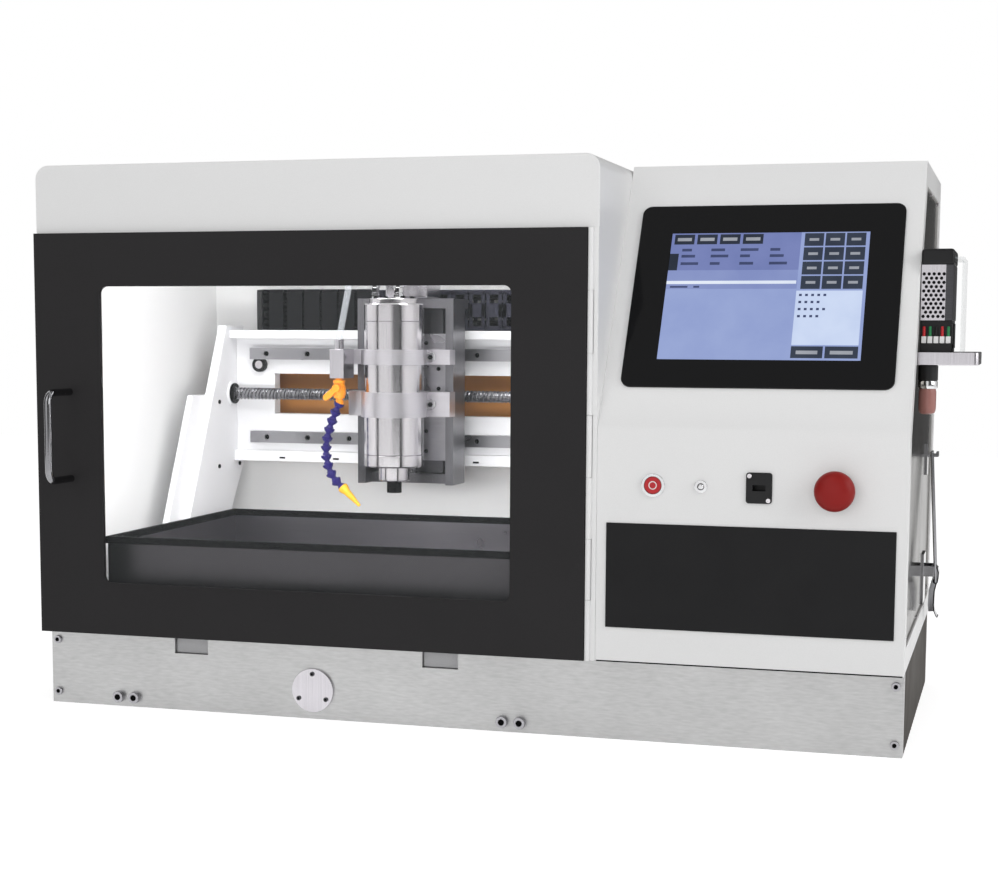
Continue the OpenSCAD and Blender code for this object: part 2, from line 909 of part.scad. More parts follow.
// Door
module door_panel() {
    color([0.2, 0.2, 0.21]) {
        difference() {
            block(left_x, door_right, door_front, door_back, base_h, base_h + door_h);
            front_plate(door_mid_x, door_back + over, door_mid_z, window_w, window_h,
                door_t + 2 * over, window_r);
        }
        difference() {
            union() {
                block(door_right - leaf_w, door_right, door_back, door_back + leaf_t,
                    base_h, base_h + door_h);
                for (i = [1:2:knuckle_count - 1]) {
                    z = base_h + i * knuckle_l;
                    knuckle(i);
                    block(door_right - leaf_w, hinge_x, door_back, door_back + leaf_t,
                        z + slide_clear / 2, z + knuckle_l - slide_clear / 2);
                }
            }
            rod_z(pin_r + run_clear, base_h - over, base_h + door_h + over, hinge_x, hinge_y);
        }
    }
}

module door_window() {
    color([0.75, 0.85, 0.9, 0.3]) front_plate(door_mid_x, door_back + pane_t, door_mid_z,
        window_w + 2 * pane_lap, window_h + 2 * pane_lap, pane_t, window_r);
}

module door_handle() {
    color("gainsboro") {
        for (s = both) {
            z = door_mid_z + s * handle_pitch / 2;
            rod_y(handle_d / 2, door_front - handle_stand + handle_bend_r, door_front, handle_x, z);
            translate([handle_x, door_front - handle_stand + handle_bend_r, z - s * handle_bend_r])
                rotate([90, 0, 90]) rotate([0, 0, s > 0 ? 90 : 180])
                    rotate_extrude(angle = 90) translate([handle_bend_r, 0]) circle(d = handle_d);
        }
        rod_z(handle_d / 2, door_mid_z - handle_pitch / 2 + handle_bend_r,
            door_mid_z + handle_pitch / 2 - handle_bend_r, handle_x, door_front - handle_stand);
    }
}

// Control box
function lean_y(z, d) = front_y + (z - knee_z) * tan(lean_a) + d / cos(lean_a);
function control_points(d) = [
    [front_y + d, base_h + d],
    [front_y + d, knee_z + (d - d / cos(lean_a)) / tan(lean_a)],
    [lean_y(cab_h - d, d), cab_h - d],
    [back_y - d, cab_h - d],
    [back_y - d, base_h + d]
];

module control_prism(inset, x0, x1) {
    translate([x0, 0, 0]) rotate([90, 0, 90]) linear_extrude(x1 - x0) polygon(control_points(inset));
}

// Places a shape on the leaning front: y = 0 is its face and z runs up along it from the knee
module on_lean() {
    translate([0, front_y, knee_z]) rotate([-lean_a, 0, 0]) children();
}

// A hole in the control box's front for a barrel of radius r
module panel_hole(x, r) {
    rod_y(r + run_clear, front_y - over, front_y + sheet_t + over, x, button_z);
}

module control_shell() {
    color("white") difference() {
        control_prism(0, split_x, right_x);
        control_prism(sheet_t, split_x + sheet_t, right_x - sheet_t);
        control_prism(side_lip, right_x - sheet_t - over, right_x + over);
        panel_hole(power_x, power_d / 2 - flange_lip);
        panel_hole(start_x, start_d / 2 - flange_lip);
        panel_hole(socket_x, socket_body_d / 2);
        panel_hole(stop_x, stop_barrel_d / 2);
        on_lean() front_plate(control_mid_x, 2 * sheet_t, bezel_up, housing_w + 2 * run_clear,
            housing_h + 2 * run_clear, 4 * sheet_t, bezel_r);
        front_plate(inlet_x, back_y + over, inlet_z, inlet_w - 2 * inlet_lip + 2 * run_clear,
            inlet_h - 2 * inlet_lip + 2 * run_clear, sheet_t + 2 * over, inlet_r);
    }
}

module control_side_panel() {
    color("gainsboro") control_prism(side_lip - panel_lap, right_x - 2 * sheet_t, right_x - sheet_t);
}

module screen_bezel() {
    color([0.05, 0.05, 0.06]) on_lean() difference() {
        union() {
            front_plate(control_mid_x, 0, bezel_up, bezel_w, bezel_h, bezel_t, bezel_r);
            front_plate(control_mid_x, screen_depth, bezel_up, housing_w, housing_h, screen_depth, bezel_r);
        }
        front_plate(control_mid_x, display_t - bezel_t, display_up, display_w, display_h, bezel_t, display_r);
    }
}

module screen_display() {
    color("lightsteelblue") on_lean() front_plate(control_mid_x, display_t - bezel_t, display_up,
        display_w, display_h, display_t, display_r);
}

module name_panel() {
    color([0.1, 0.1, 0.1]) block(control_mid_x - name_w / 2, control_mid_x + name_w / 2,
        front_y - name_t, front_y, name_z - name_h / 2, name_z + name_h / 2);
}

// Push buttons: a flanged barrel with a cap that slides in it
module push_ring(x, d, travel) {
    difference() {
        union() {
            rod_y(d / 2, front_y - flange_t, front_y, x, button_z);
            rod_y(d / 2 - flange_lip, front_y - over, front_y + barrel_l, x, button_z);
        }
        rod_y(d / 2 - cap_lip + slide_clear, front_y - flange_t - over, front_y + cap_in + travel + gap,
            x, button_z);
    }
}

module push_cap(x, d) {
    r = d / 2 - cap_lip;
    translate([x, front_y + cap_in, button_z]) rotate([90, 0, 0]) rotate_extrude() polygon([
        [0, 0], [r, 0],
        [r, cap_in + cap_proud - cap_chamfer],
        [r - cap_chamfer, cap_in + cap_proud], [0, cap_in + cap_proud]
    ]);
}

module button_rings() {
    color("silver") {
        push_ring(power_x, power_d, power_travel);
        push_ring(start_x, start_d, start_travel);
    }
}

module power_cap() {
    color([0.8, 0.1, 0.12]) push_cap(power_x, power_d);
}

module start_cap() {
    color("silver") push_cap(start_x, start_d);
}

module data_socket() {
    color([0.08, 0.08, 0.08]) {
        difference() {
            union() {
                front_plate(socket_x, front_y, button_z, socket_w, socket_h, socket_t, socket_r);
                rod_y(socket_body_d / 2, front_y - over, front_y + barrel_l, socket_x, button_z);
            }
            block(socket_x - port_w / 2, socket_x + port_w / 2, front_y - socket_t - over,
                front_y + port_depth, button_z - port_h / 2, button_z + port_h / 2);
        }
        for (s = both) {
            front_screw(socket_x + s * (socket_w / 2 - socket_screw_d), front_y - socket_t,
                button_z - s * (socket_h / 2 - socket_screw_d), socket_screw_d, socket_screw_h);
        }
    }
}

module stop_collar() {
    color([0.1, 0.1, 0.1]) difference() {
        union() {
            rod_y(stop_collar_d / 2, front_y - stop_collar_h, front_y, stop_x, button_z);
            rod_y(stop_barrel_d / 2, front_y - over, front_y + barrel_l, stop_x, button_z);
        }
        rod_y(stop_stem_r + run_clear, front_y - stop_collar_h - over, front_y + barrel_l + over,
            stop_x, button_z);
    }
}

module stop_stem() {
    color([0.7, 0.1, 0.1]) rod_y(stop_stem_r, stop_under_y - stop_grip, front_y + stem_tail,
        stop_x, button_z);
}

module stop_head() {
    r = stop_d / 2;
    color([0.8, 0.08, 0.1]) translate([stop_x, stop_under_y, button_z]) rotate([90, 0, 0]) difference() {
        rotate_extrude() polygon([
            [0, 0], [r * stop_top_share, 0], [r, stop_head_h * stop_crown_share],
            [r, stop_head_h * (1 - stop_crown_share)], [r * stop_top_share, stop_head_h], [0, stop_head_h]
        ]);
        translate([0, 0, -over]) cylinder(r = stop_stem_r + run_clear, h = stop_grip + screw_end_gap + over);
    }
}

module mains_inlet() {
    color([0.08, 0.08, 0.08]) difference() {
        union() {
            front_plate(inlet_x, back_y + inlet_t, inlet_z, inlet_w, inlet_h, inlet_t, inlet_r);
            front_plate(inlet_x, back_y + over, inlet_z, inlet_w - 2 * inlet_lip, inlet_h - 2 * inlet_lip,
                inlet_depth, inlet_r);
        }
        front_plate(inlet_x, back_y + inlet_t + over, inlet_z, inlet_well_w, inlet_well_h,
            inlet_well_d, inlet_r);
    }
}

// Gantry
module gantry_sides() {
    color("white") difference() {
        union() {
            for (x = [gantry_x0 - gantry_t, gantry_x1]) {
                translate([x, 0, 0]) rotate([90, 0, 90]) linear_extrude(gantry_t) polygon([
                    [foot_y0, foot_z1], [foot_y0, side_knee_z], [side_top_y0, gantry_z],
                    [side_rear_y, gantry_z], [side_rear_y, beam_z0],
                    [foot_y1, side_heel_z], [foot_y1, foot_z1]
                ]);
            }
            for (x = [gantry_x0 - gantry_t - side_rib_t, gantry_x1 + gantry_t]) {
                translate([x, foot_y0, 0]) rotate([90, 0, 90]) linear_extrude(side_rib_t) polygon([
                    [-side_rib_reach, side_knee_z], [side_rib_lap, side_knee_z],
                    [side_rib_run + side_rib_lap, side_rib_z], [side_rib_run - side_rib_reach, side_rib_z]
                ]);
            }
            rod_x(boss_r, gantry_x0 - over, gantry_x0 + boss_t, x_screw_y, x_screw_z);
            rod_x(boss_r, gantry_x1 - boss_t, gantry_x1 + over, x_screw_y, x_screw_z);
        }
        rod_x(stub_r + run_clear, gantry_x0 - gantry_t - over, gantry_x1 + gantry_t + over,
            x_screw_y, x_screw_z);
    }
}

module gantry_foot() {
    nut_y0 = foot_y0 + (foot_d - nut_block_l) / 2;
    half = screw_r + nut_wall;
    runner_y0 = foot_y0 + block_l / 2 + foot_runner_gap;
    runner_y1 = foot_y1 - block_l / 2 - foot_runner_gap;
    color("silver") {
        block(gantry_x0 - gantry_t, gantry_x1 + gantry_t, foot_y0, foot_y1, foot_z0, foot_z1);
        difference() {
            block(bay_x - half, bay_x + half, nut_y0, nut_y0 + nut_block_l, y_screw_z - half, foot_z0 + over);
            rod_y(screw_r + slide_clear, nut_y0 - over, nut_y0 + nut_block_l + over, bay_x, y_screw_z);
        }
        for (s = both, y = [runner_y0, runner_y1]) {
            translate([bay_x + s * y_rail_spread / 2, y, bar_z1]) rotate([-90, 0, 90]) runner(block_l);
        }
    }
}

module x_beam() {
    slot_z0 = x_screw_z - beam_slot_h / 2;
    color("white") {
        difference() {
            block(gantry_x0, gantry_x1, beam_y, beam_y + beam_t, beam_z0, beam_z1);
            block(gantry_x0 + beam_end, gantry_x1 - beam_end, beam_y - over, beam_y + beam_t + over,
                slot_z0, slot_z0 + beam_slot_h);
        }
        block(gantry_x0, gantry_x1, beam_y - ledge_d, beam_y + over, beam_z0, beam_z0 + ledge_h);
        block(gantry_x0, gantry_x1, chain_y0, chain_tray_y1, beam_z1 - over, chain_tray_z);
    }
}

module x_rails() {
    x0 = gantry_x0 + x_rail_inset;
    x1 = gantry_x1 - x_rail_inset;
    color("silver") difference() {
        for (z = [x_rail_hi_z, x_rail_lo_z]) {
            block(x0, x1, beam_y - rail_h, beam_y, z - rail_w / 2, z + rail_w / 2);
        }
        for (z = [x_rail_hi_z, x_rail_lo_z]) {
            rail_holes(x0, x1, beam_y - rail_h, z);
        }
    }
}

module x_motor() {
    x = gantry_x1 + gantry_t;
    color([0.15, 0.15, 0.16]) difference() {
        block(x, x + x_motor_l, x_screw_y - x_motor_w / 2, x_screw_y + x_motor_w / 2,
            x_screw_z - x_motor_w / 2, x_screw_z + x_motor_w / 2);
        rod_x(tip_r + run_clear, x - over, x + tip_l + over, x_screw_y, x_screw_z);
    }
}

module drag_chain() {
    front_x1 = chain_mid_x + chain_front_links * chain_pitch;
    back_x1 = chain_mid_x + chain_links * chain_pitch;
    core_z0 = chain_z0 + 2 * chain_wall;
    core_z1 = chain_z0 + chain_h - 2 * chain_wall;
    hole_z = chain_h * chain_row_share;
    color([0.12, 0.12, 0.13]) difference() {
        union() {
            block(chain_mid_x, front_x1, chain_y0, chain_y0 + chain_t, chain_z0, chain_z0 + chain_h);
            block(chain_mid_x, back_x1, chain_y1, chain_y1 + chain_t, chain_z0, chain_z0 + chain_h);
            translate([chain_mid_x, chain_mid_y, chain_z0]) rotate([0, 0, 90]) rotate_extrude(angle = 180)
                translate([chain_bend_r - chain_t, 0]) square([chain_t, chain_h]);
        }
        block(chain_mid_x - over, front_x1 + over, chain_y0 + chain_wall, chain_y0 + chain_t - chain_wall,
            core_z0, core_z1);
        block(chain_mid_x - over, back_x1 + over, chain_y1 + chain_wall, chain_y1 + chain_t - chain_wall,
            core_z0, core_z1);
        for (i = [0:chain_links - 1], s = both) {
            x = chain_mid_x + (i + 0.5) * chain_pitch;
            z = chain_z0 + chain_h / 2 + s * hole_z;
            block(x - chain_hole / 2, x + chain_hole / 2, chain_y1 - over, chain_y1 + chain_t + over,
                z - chain_hole / 2, z + chain_hole / 2);
        }
    }
}

// Ball screws
module x_screw() {
    color("silver") {
        rod_x(screw_r, gantry_x0 + boss_t + screw_end_gap, gantry_x1 - boss_t - screw_end_gap,
            x_screw_y, x_screw_z);
        rod_x(stub_r, gantry_x0 - gantry_t, gantry_x1 + gantry_t - screw_end_gap, x_screw_y, x_screw_z);
        rod_x(tip_r, gantry_x1, gantry_x1 + gantry_t + tip_l, x_screw_y, x_screw_z);
    }
}

module y_screw() {
    color("silver") {
        rod_y(screw_r, screw_end_gap - plate_in, motor_front - screw_end_gap, bay_x, y_screw_z);
        rod_y(stub_r, plate_y + screw_end_gap, 0, bay_x, y_screw_z);
        rod_y(tip_r, 0, motor_front + tip_l, bay_x, y_screw_z);
    }
}

module z_screw() {
    color("silver") {
        rod_z(z_screw_r, frame_z0 + end_t + screw_end_gap, frame_z1 - screw_end_gap, spindle_x, z_screw_y);
        rod_z(tip_r, frame_z0, frame_z1 + end_t + tip_l, spindle_x, z_screw_y);
    }
}

// X carriage with the Z frame
module x_plate() {
    half = screw_r + nut_wall;
    x0 = spindle_x - frame_w / 2 + plate_inset;
    x1 = spindle_x + frame_w / 2 - plate_inset;
    color("silver") {
        block(x0, x1, x_plate_y, x_plate_y + slide_t, frame_z0, frame_z1);
        for (s = both, z = [x_rail_hi_z, x_rail_lo_z]) {
            translate([spindle_x + s * ((frame_w - z_block_l) / 2 - runner_inset), beam_y, z]) runner(z_block_l);
        }
        difference() {
            block(spindle_x - nut_block_l / 2, spindle_x + nut_block_l / 2, x_plate_y + slide_t - over,
                beam_y - nut_gap_y, x_screw_z - half, x_screw_z + half);
            rod_x(screw_r + slide_clear, x0, x1, x_screw_y, x_screw_z);
        }
        for (s = both) {
            x = spindle_x + s * z_rail_spread / 2;
            block(x - rail_w / 2, x + rail_w / 2, x_plate_y - rail_h, x_plate_y + over,
                frame_z0 + end_t, frame_z1);
        }
    }
}

module z_frame() {
    x0 = spindle_x - frame_w / 2;
    x1 = spindle_x + frame_w / 2;
    end_y = spindle_plate_y + slide_t + end_gap;
    color("gainsboro") difference() {
        union() {
            block(x0, x0 + cheek_t, cheek_y, x_plate_y, frame_z0, frame_z1);
            block(x1 - cheek_t, x1, cheek_y, x_plate_y, frame_z0, frame_z1);
            block(x0, x1, cheek_y, x_plate_y + slide_t, frame_z1, frame_z1 + end_t);
            block(x0 + over, x1 - over, end_y, x_plate_y, frame_z0, frame_z0 + end_t);
        }
        rod_z(tip_r + run_clear, frame_z0 - over, frame_z1 + end_t + over, spindle_x, z_screw_y);
    }
}

module z_motor() {
    z = frame_z1 + end_t;
    color([0.15, 0.15, 0.16]) difference() {
        block(spindle_x - motor_w / 2, spindle_x + motor_w / 2,
            z_screw_y - motor_w / 2, z_screw_y + motor_w / 2, z, z + motor_l);
        rod_z(tip_r + run_clear, z - over, z + tip_l + over, spindle_x, z_screw_y);
    }
}

// Spindle carriage
module spindle_plate() {
    nut_half = z_screw_r + z_nut_wall;
    color("silver") {
        block(spindle_x - spindle_plate_w / 2, spindle_x + spindle_plate_w / 2, spindle_plate_y,
            spindle_plate_y + slide_t, spindle_plate_z, spindle_plate_z + spindle_plate_h);
        for (s = both, z = [z_block_lo, z_block_hi]) {
            translate([spindle_x + s * z_rail_spread / 2, x_plate_y, z + z_block_l / 2]) rotate([0, -90, 0])
                runner(z_block_l);
        }
        difference() {
            block(spindle_x - nut_half, spindle_x + nut_half, spindle_plate_y + slide_t - over,
                x_plate_y - 2 * gap, z_nut_z - nut_half, z_nut_z + nut_half);
            rod_z(z_screw_r + slide_clear, frame_z0, frame_z1, spindle_x, z_screw_y);
        }
    }
}

module spindle_clamp(z0, h) {
    difference() {
        union() {
            rod_z(spindle_r + clamp_wall, z0, z0 + h, spindle_x, spindle_y);
            block(spindle_x - clamp_w / 2, spindle_x + clamp_w / 2, clamp_front_y, clamp_ear_y, z0, z0 + h);
            block(spindle_x - clamp_back_w / 2, spindle_x + clamp_back_w / 2, clamp_ear_y - over,
                spindle_plate_y, z0, z0 + h);
        }
        rod_z(spindle_r + run_clear, z0 - over, z0 + h + over, spindle_x, spindle_y);
    }
    for (s = both) {
        front_screw(spindle_x + s * (clamp_w / 2 - clamp_screw_in), clamp_front_y, z0 + h / 2,
            clamp_screw_d, clamp_screw_h);
    }
}

module spindle_clamps() {
    color("lightgray") {
        spindle_clamp(clamp_lo_z, clamp_lo_h);
        spindle_clamp(clamp_hi_z, clamp_hi_h);
    }
}

module spindle_body() {
    color("lightgray") difference() {
        union() {
            rod_z(spindle_r, spindle_z0, spindle_z1, spindle_x, spindle_y);
            rod_z(nose_d / 2, spindle_z0 - nose_l, spindle_z0 + over, spindle_x, spindle_y);
            rod_z(cap_d / 2, spindle_z1 - over, spindle_z1 + cap_h, spindle_x, spindle_y);
            for (x = [spindle_x - fitting_off, feed_end_x]) {
                rod_z(fitting_d / 2, spindle_z1, feed_z1, x, spindle_y);
            }
        }
        rod_z(shaft_r + run_clear, spindle_z0 - nose_l - over, spindle_z0 + shaft_up, spindle_x, spindle_y);
    }
}

module collet_nut() {
    color("dimgray") difference() {
        union() {
            rod_z(shaft_r, nut_z1 - over, spindle_z0 + shaft_up - shaft_gap, spindle_x, spindle_y);
            rod_z(nut_d / 2, nut_z0, nut_z1, spindle_x, spindle_y);
        }
        rod_z(collet_r, nut_z0 - over, nut_z0 + collet_l, spindle_x, spindle_y);
        for (i = [0:nut_slots - 1]) {
            translate([spindle_x, spindle_y, nut_z0 - over]) rotate([0, 0, i * 360 / nut_slots])
                translate([nut_d / 2 - nut_slot_d, -nut_slot_w / 2, 0])
                    cube([nut_slot_w, nut_slot_w, nut_h / 2 + over]);
        }
    }
}

// Coolant
module coolant_block() {
    color("darkgray") {
        block(coolant_x0, coolant_x1, coolant_y - coolant_w / 2, clamp_front_y,
            coolant_z, coolant_z + coolant_h);
        rod_z(feed_stub_d / 2, coolant_z + coolant_h, feed_z0, coolant_mid_x, coolant_y);
    }
}

module coolant_valve() {
    color("darkorange") difference() {
        union() {
            rod_z(valve_d / 2, coolant_z - valve_h, coolant_z, hose_x, coolant_y);
            rod_z(link_d * link_neck_share, hose_z, coolant_z - valve_h + over, hose_x, coolant_y);
            translate([hose_x, coolant_y, hose_z]) sphere(r = link_ball_r);
        }
        rod_y(stem_r + run_clear, coolant_y - valve_d, coolant_y - valve_d / 2 + stem_in + screw_end_gap,
            hose_x, coolant_z - valve_h / 2);
    }
}

module valve_lever() {
    y1 = coolant_y - valve_d / 2 - screw_end_gap;
    color("orange") translate([hose_x, 0, coolant_z - valve_h / 2]) rotate([0, -lever_tilt, 0]) {
        rod_y(stem_r, y1 - over, y1 + stem_in, 0, 0);
        rod_y(lever_hub_r, y1 - lever_hub_t, y1, 0, 0);
        block(-lever_arm, 0, y1 - lever_hub_t, y1, -lever_arm_w / 2, lever_arm_w / 2);
        rod_y(lever_arm_w / 2, y1 - lever_hub_t, y1, -lever_arm, 0);
    }
}

module hose_link(i) {
    p = hose_pt(i);
    translate([p.x, coolant_y, p.y]) rotate([0, -hose_a(i), 0]) mirror([0, 0, 1]) {
        cylinder(d1 = link_d, d2 = 2 * link_d * link_neck_share, h = link_pitch * link_cup_share);
        cylinder(r = link_d * link_neck_share, h = link_pitch);
        translate([0, 0, link_pitch]) sphere(r = link_ball_r);
    }
}

module coolant_hose() {
    color([0.2, 0.16, 0.45]) difference() {
        for (i = [0:link_count - 1]) {
            hose_link(i);
        }
        translate([hose_x, coolant_y, hose_z]) sphere(r = link_ball_r + ball_gap);
    }
}

module coolant_nozzle() {
    color("gold") translate([hose_end.x, coolant_y, hose_end.y]) rotate([0, -nozzle_a, 0]) mirror([0, 0, 1])
        difference() {
            cylinder(d1 = link_d, d2 = nozzle_d, h = nozzle_l);
            sphere(r = link_ball_r + ball_gap);
            cylinder(d = nozzle_d / 2, h = nozzle_l + over);
        }
}

module feed_hose() {
    color([0.85, 0.9, 0.92, 0.5]) translate([coolant_mid_x, coolant_y, 0]) rotate([0, 0, feed_turn]) {
        rod_z(feed_d / 2, feed_z0, feed_z1, 0, 0);
        translate([feed_span / 2, 0, feed_z1]) rotate([90, 0, 0]) for (a = [0, 90]) {
            rotate([0, 0, a]) rotate_extrude(angle = 90) translate([feed_span / 2, 0]) circle(d = feed_d);
        }
    }
}

// Right side: shelf with the power supply, and the toggle latch
module side_shelf() {
    x1 = panel_out + shelf_w;
    z0 = shelf_z - shelf_t;
    color("gainsboro") {
        block(panel_out, x1 - shelf_r, shelf_y, shelf_y + shelf_d, z0, shelf_z);
        block(panel_out, x1, shelf_y + shelf_r, shelf_y + shelf_d - shelf_r, z0, shelf_z);
        for (y = [shelf_y + shelf_r, shelf_y + shelf_d - shelf_r]) {
            rod_z(shelf_r, z0, shelf_z, x1 - shelf_r, y);
        }
    }
}

module power_supply() {
    x1 = supply_x0 + supply_w;
    y1 = supply_y0 + supply_d;
    cage_z = shelf_z + terminal_h;
    cap_z = shelf_z + supply_h - supply_cap_h;
    color("gray") difference() {
        union() {
            block(supply_x0, x1, supply_y0, y1, cage_z, cap_z + supply_cap_h);
            block(supply_x0, x1, supply_y0 + terminal_step, y1, shelf_z, cage_z + over);
            for (i = [0:terminal_count - 1]) {
                x = supply_x0 + i * supply_w / terminal_count;
                block(x, x + supply_w / terminal_count / 2, supply_y0, supply_y0 + terminal_step + over,
                    shelf_z, shelf_z + terminal_h / 2);
            }
        }
        for (c = [0:vent_cols - 1], r = [0:vent_rows - 1]) {
            rod_y(vent_r, supply_y0 - over, supply_y0 + vent_depth,
                supply_x0 + vent_in + c * vent_pitch, cage_z + vent_in + (r + (c % 2) / 2) * vent_pitch);
        }
    }
}

module supply_guard() {
    y1 = shelf_y + shelf_d - shelf_r;
    color([0.8, 0.9, 0.95, 0.3]) {
        block(guard_x, guard_x + guard_t, shelf_y + shelf_r, y1, shelf_z, guard_z1);
        block(supply_x0 + supply_w, guard_x + guard_t, shelf_y + shelf_r, y1, guard_z1 - guard_t, guard_z1);
    }
}

module oil_cup() {
    z1 = shelf_z - shelf_t;
    head_h = cup_h * cup_head_share;
    ring_h = cup_h * cup_ring_share;
    color([0.45, 0.3, 0.3]) {
        rod_z(cup_d / 2, z1 - cup_h, z1, cup_x + cup_ring_lip, cup_y);
        rod_z(cup_d / 2 + cup_ring_lip, z1 - head_h - ring_h, z1 - head_h, cup_x + cup_ring_lip, cup_y);
    }
}

module latch_plates() {
    plate_x = panel_out + latch_base_t;
    color("gainsboro") {
        block(panel_out, plate_x, latch_y - latch_base_w / 2, latch_y + latch_base_w / 2,
            latch_z + latch_top - latch_base_h, latch_z + latch_top);
        for (s = both) {
            y = latch_y + s * (ear_in + latch_ear_t / 2);
            block(plate_x - over, latch_x + pivot_r, y - latch_ear_t / 2, y + latch_ear_t / 2,
                latch_z - latch_ear_h / 2, latch_z + latch_ear_h / 2);
        }
        rod_y(latch_pin_r, latch_y - ear_in - latch_ear_t, latch_y + ear_in + latch_ear_t, latch_x, latch_z);
        block(panel_out, plate_x, latch_y - keeper_w / 2, latch_y + keeper_w / 2,
            keeper_z - keeper_plate_h, keeper_z + keeper_plate_h / 2);
        block(panel_out, panel_out + keeper_d, latch_y - keeper_w / 2, latch_y + keeper_w / 2,
            keeper_z - keeper_t, keeper_z);
        block(panel_out + keeper_d - keeper_tip_t, panel_out + keeper_d, latch_y - keeper_w / 2,
            latch_y + keeper_w / 2, keeper_z - over, keeper_z + keeper_tip_h);
    }
}

module latch_lever() {
    color("silver") difference() {
        union() {
            rod_y(pivot_r, latch_y - lever_w / 2, latch_y + lever_w / 2, latch_x, latch_z);
            block(latch_x - lever_thick / 2, latch_x + lever_thick / 2, latch_y - lever_w / 2,
                latch_y + lever_w / 2, latch_z - lever_l, latch_z);
            block(latch_x, bail_x + pivot_r, latch_y - lever_w / 2, latch_y + lever_w / 2,
                bail_z0 - lug_w / 2, bail_z0 + lug_w / 2);
        }
        rod_y(latch_pin_r + pin_gap, latch_y - lever_w, latch_y + lever_w, latch_x, latch_z);
        rod_y(bail_d / 2 + pin_gap, latch_y - lever_w, latch_y + lever_w, bail_x, bail_z0);
    }
}

module latch_bail() {
    rise = bail_z1 - bail_z0;
    run = bail_top_x - bail_x;
    color("silver") {
        for (s = both) {
            y = latch_y + s * bail_w / 2;
            translate([bail_x, y, bail_z0]) rotate([0, atan2(run, rise), 0])
                cylinder(d = bail_d, h = norm([run, rise]));
            translate([bail_x, y, bail_z0]) sphere(d = bail_d);
            translate([bail_top_x, y, bail_z1]) sphere(d = bail_d);
            rod_y(bail_d / 2, min(y, y - s * (bail_d + peg_l)), max(y, y - s * (bail_d + peg_l)),
                bail_x, bail_z0);
        }
        rod_y(bail_d / 2, latch_y - bail_w / 2, latch_y + bail_w / 2, bail_top_x, bail_z1);
    }
}

base_front_plate();
base_rear_plate();
base_sides();
base_floor();
base_screws();
screw_end_cover();
y_rails();
y_motor();
bed();
tray();
tray_trim();
work_table();
hood_shell();
rear_liner();
hinge_hood_leaf();
control_shell();
control_side_panel();
screen_bezel();
screen_display();
name_panel();
button_rings();
data_socket();
stop_collar();
side_shelf();
power_supply();
supply_guard();
oil_cup();
latch_plates();
mains_inlet();
door_panel();
door_window();
door_handle();
gantry_sides();
gantry_foot();
x_beam();
x_rails();
x_motor();
drag_chain();
y_screw();
x_screw();
x_plate();
z_frame();
z_motor();
z_screw();
spindle_plate();
spindle_clamps();
spindle_body();
coolant_block();
coolant_valve();
feed_hose();
collet_nut();
valve_lever();
coolant_hose();
coolant_nozzle();
power_cap();
start_cap();
stop_stem();
stop_head();
latch_lever();
latch_bail();
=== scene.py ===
# %% [markdown]
# # A desktop enclosed milling machine
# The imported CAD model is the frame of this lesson: it gives every piece its real place, in metres, with the
# front of the machine towards -Y and its right side towards +X. The lesson dresses that frame. It keeps
# each solid whose shape is right and rounds its edges, and it models anew what a plain solid can't show,
# such as threads, hose links, a screen page and wiring.

# %% Load the frame
import json
import math

import bmesh
import bpy
from mathutils import Matrix, Vector


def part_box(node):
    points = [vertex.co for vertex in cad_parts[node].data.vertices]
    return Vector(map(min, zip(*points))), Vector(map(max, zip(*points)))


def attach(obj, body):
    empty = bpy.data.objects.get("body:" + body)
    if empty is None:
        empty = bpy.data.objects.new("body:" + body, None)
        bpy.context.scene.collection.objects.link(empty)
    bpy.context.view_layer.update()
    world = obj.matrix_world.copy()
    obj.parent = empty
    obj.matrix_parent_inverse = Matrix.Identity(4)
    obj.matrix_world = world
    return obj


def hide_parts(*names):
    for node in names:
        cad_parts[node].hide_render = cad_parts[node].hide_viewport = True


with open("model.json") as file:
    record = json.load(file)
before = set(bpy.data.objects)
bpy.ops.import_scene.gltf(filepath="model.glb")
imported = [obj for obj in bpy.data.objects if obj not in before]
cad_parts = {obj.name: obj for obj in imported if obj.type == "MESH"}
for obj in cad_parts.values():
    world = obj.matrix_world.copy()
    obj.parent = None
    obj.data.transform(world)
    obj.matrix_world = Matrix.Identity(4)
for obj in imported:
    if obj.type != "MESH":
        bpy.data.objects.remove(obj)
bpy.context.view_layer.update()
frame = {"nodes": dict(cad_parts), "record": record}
scene = bpy.context.scene
NODES = frame["nodes"]
BODY_OF = {node: body for body, members in frame["record"]["behaviour"]["bodies"].items() for node in members}
MM = 0.001

# %% [markdown]
# ## Camera
# The photograph was taken from the right of the middle, a little above the base, and it is cropped off
# centre. A real lens can be moved sideways behind its picture to do that, and Blender's camera has the same
# shift. The focal length and the middle of the picture are given in pixels, because that is how they are
# measured.

# %% Camera
IMAGE_W, IMAGE_H = 998, 882
FOCAL_PX = 1825.6
MIDDLE_PX = (491.6, 526.8)
CAMERA_PLACE = Vector((0.5815, -2.0507, 0.4200))
YAW, PITCH, ROLL = 0.2839, 0.1051, 0.0047

lens = bpy.data.cameras.new("camera")
lens.sensor_width = 36
lens.lens = lens.sensor_width * FOCAL_PX / IMAGE_W
lens.shift_x = (IMAGE_W / 2 - MIDDLE_PX[0]) / IMAGE_W
lens.shift_y = (MIDDLE_PX[1] - IMAGE_H / 2) / IMAGE_W
camera = bpy.data.objects.new("camera", lens)
camera.matrix_world = (
    Matrix.Translation(CAMERA_PLACE)
    @ Matrix.Rotation(YAW, 4, "Z")
    @ Matrix.Rotation(math.pi / 2 - PITCH, 4, "X")
    @ Matrix.Rotation(ROLL, 4, "Z")
)
scene.collection.objects.link(camera)
scene.camera = camera
print("camera: lens", round(lens.lens, 2), "mm")

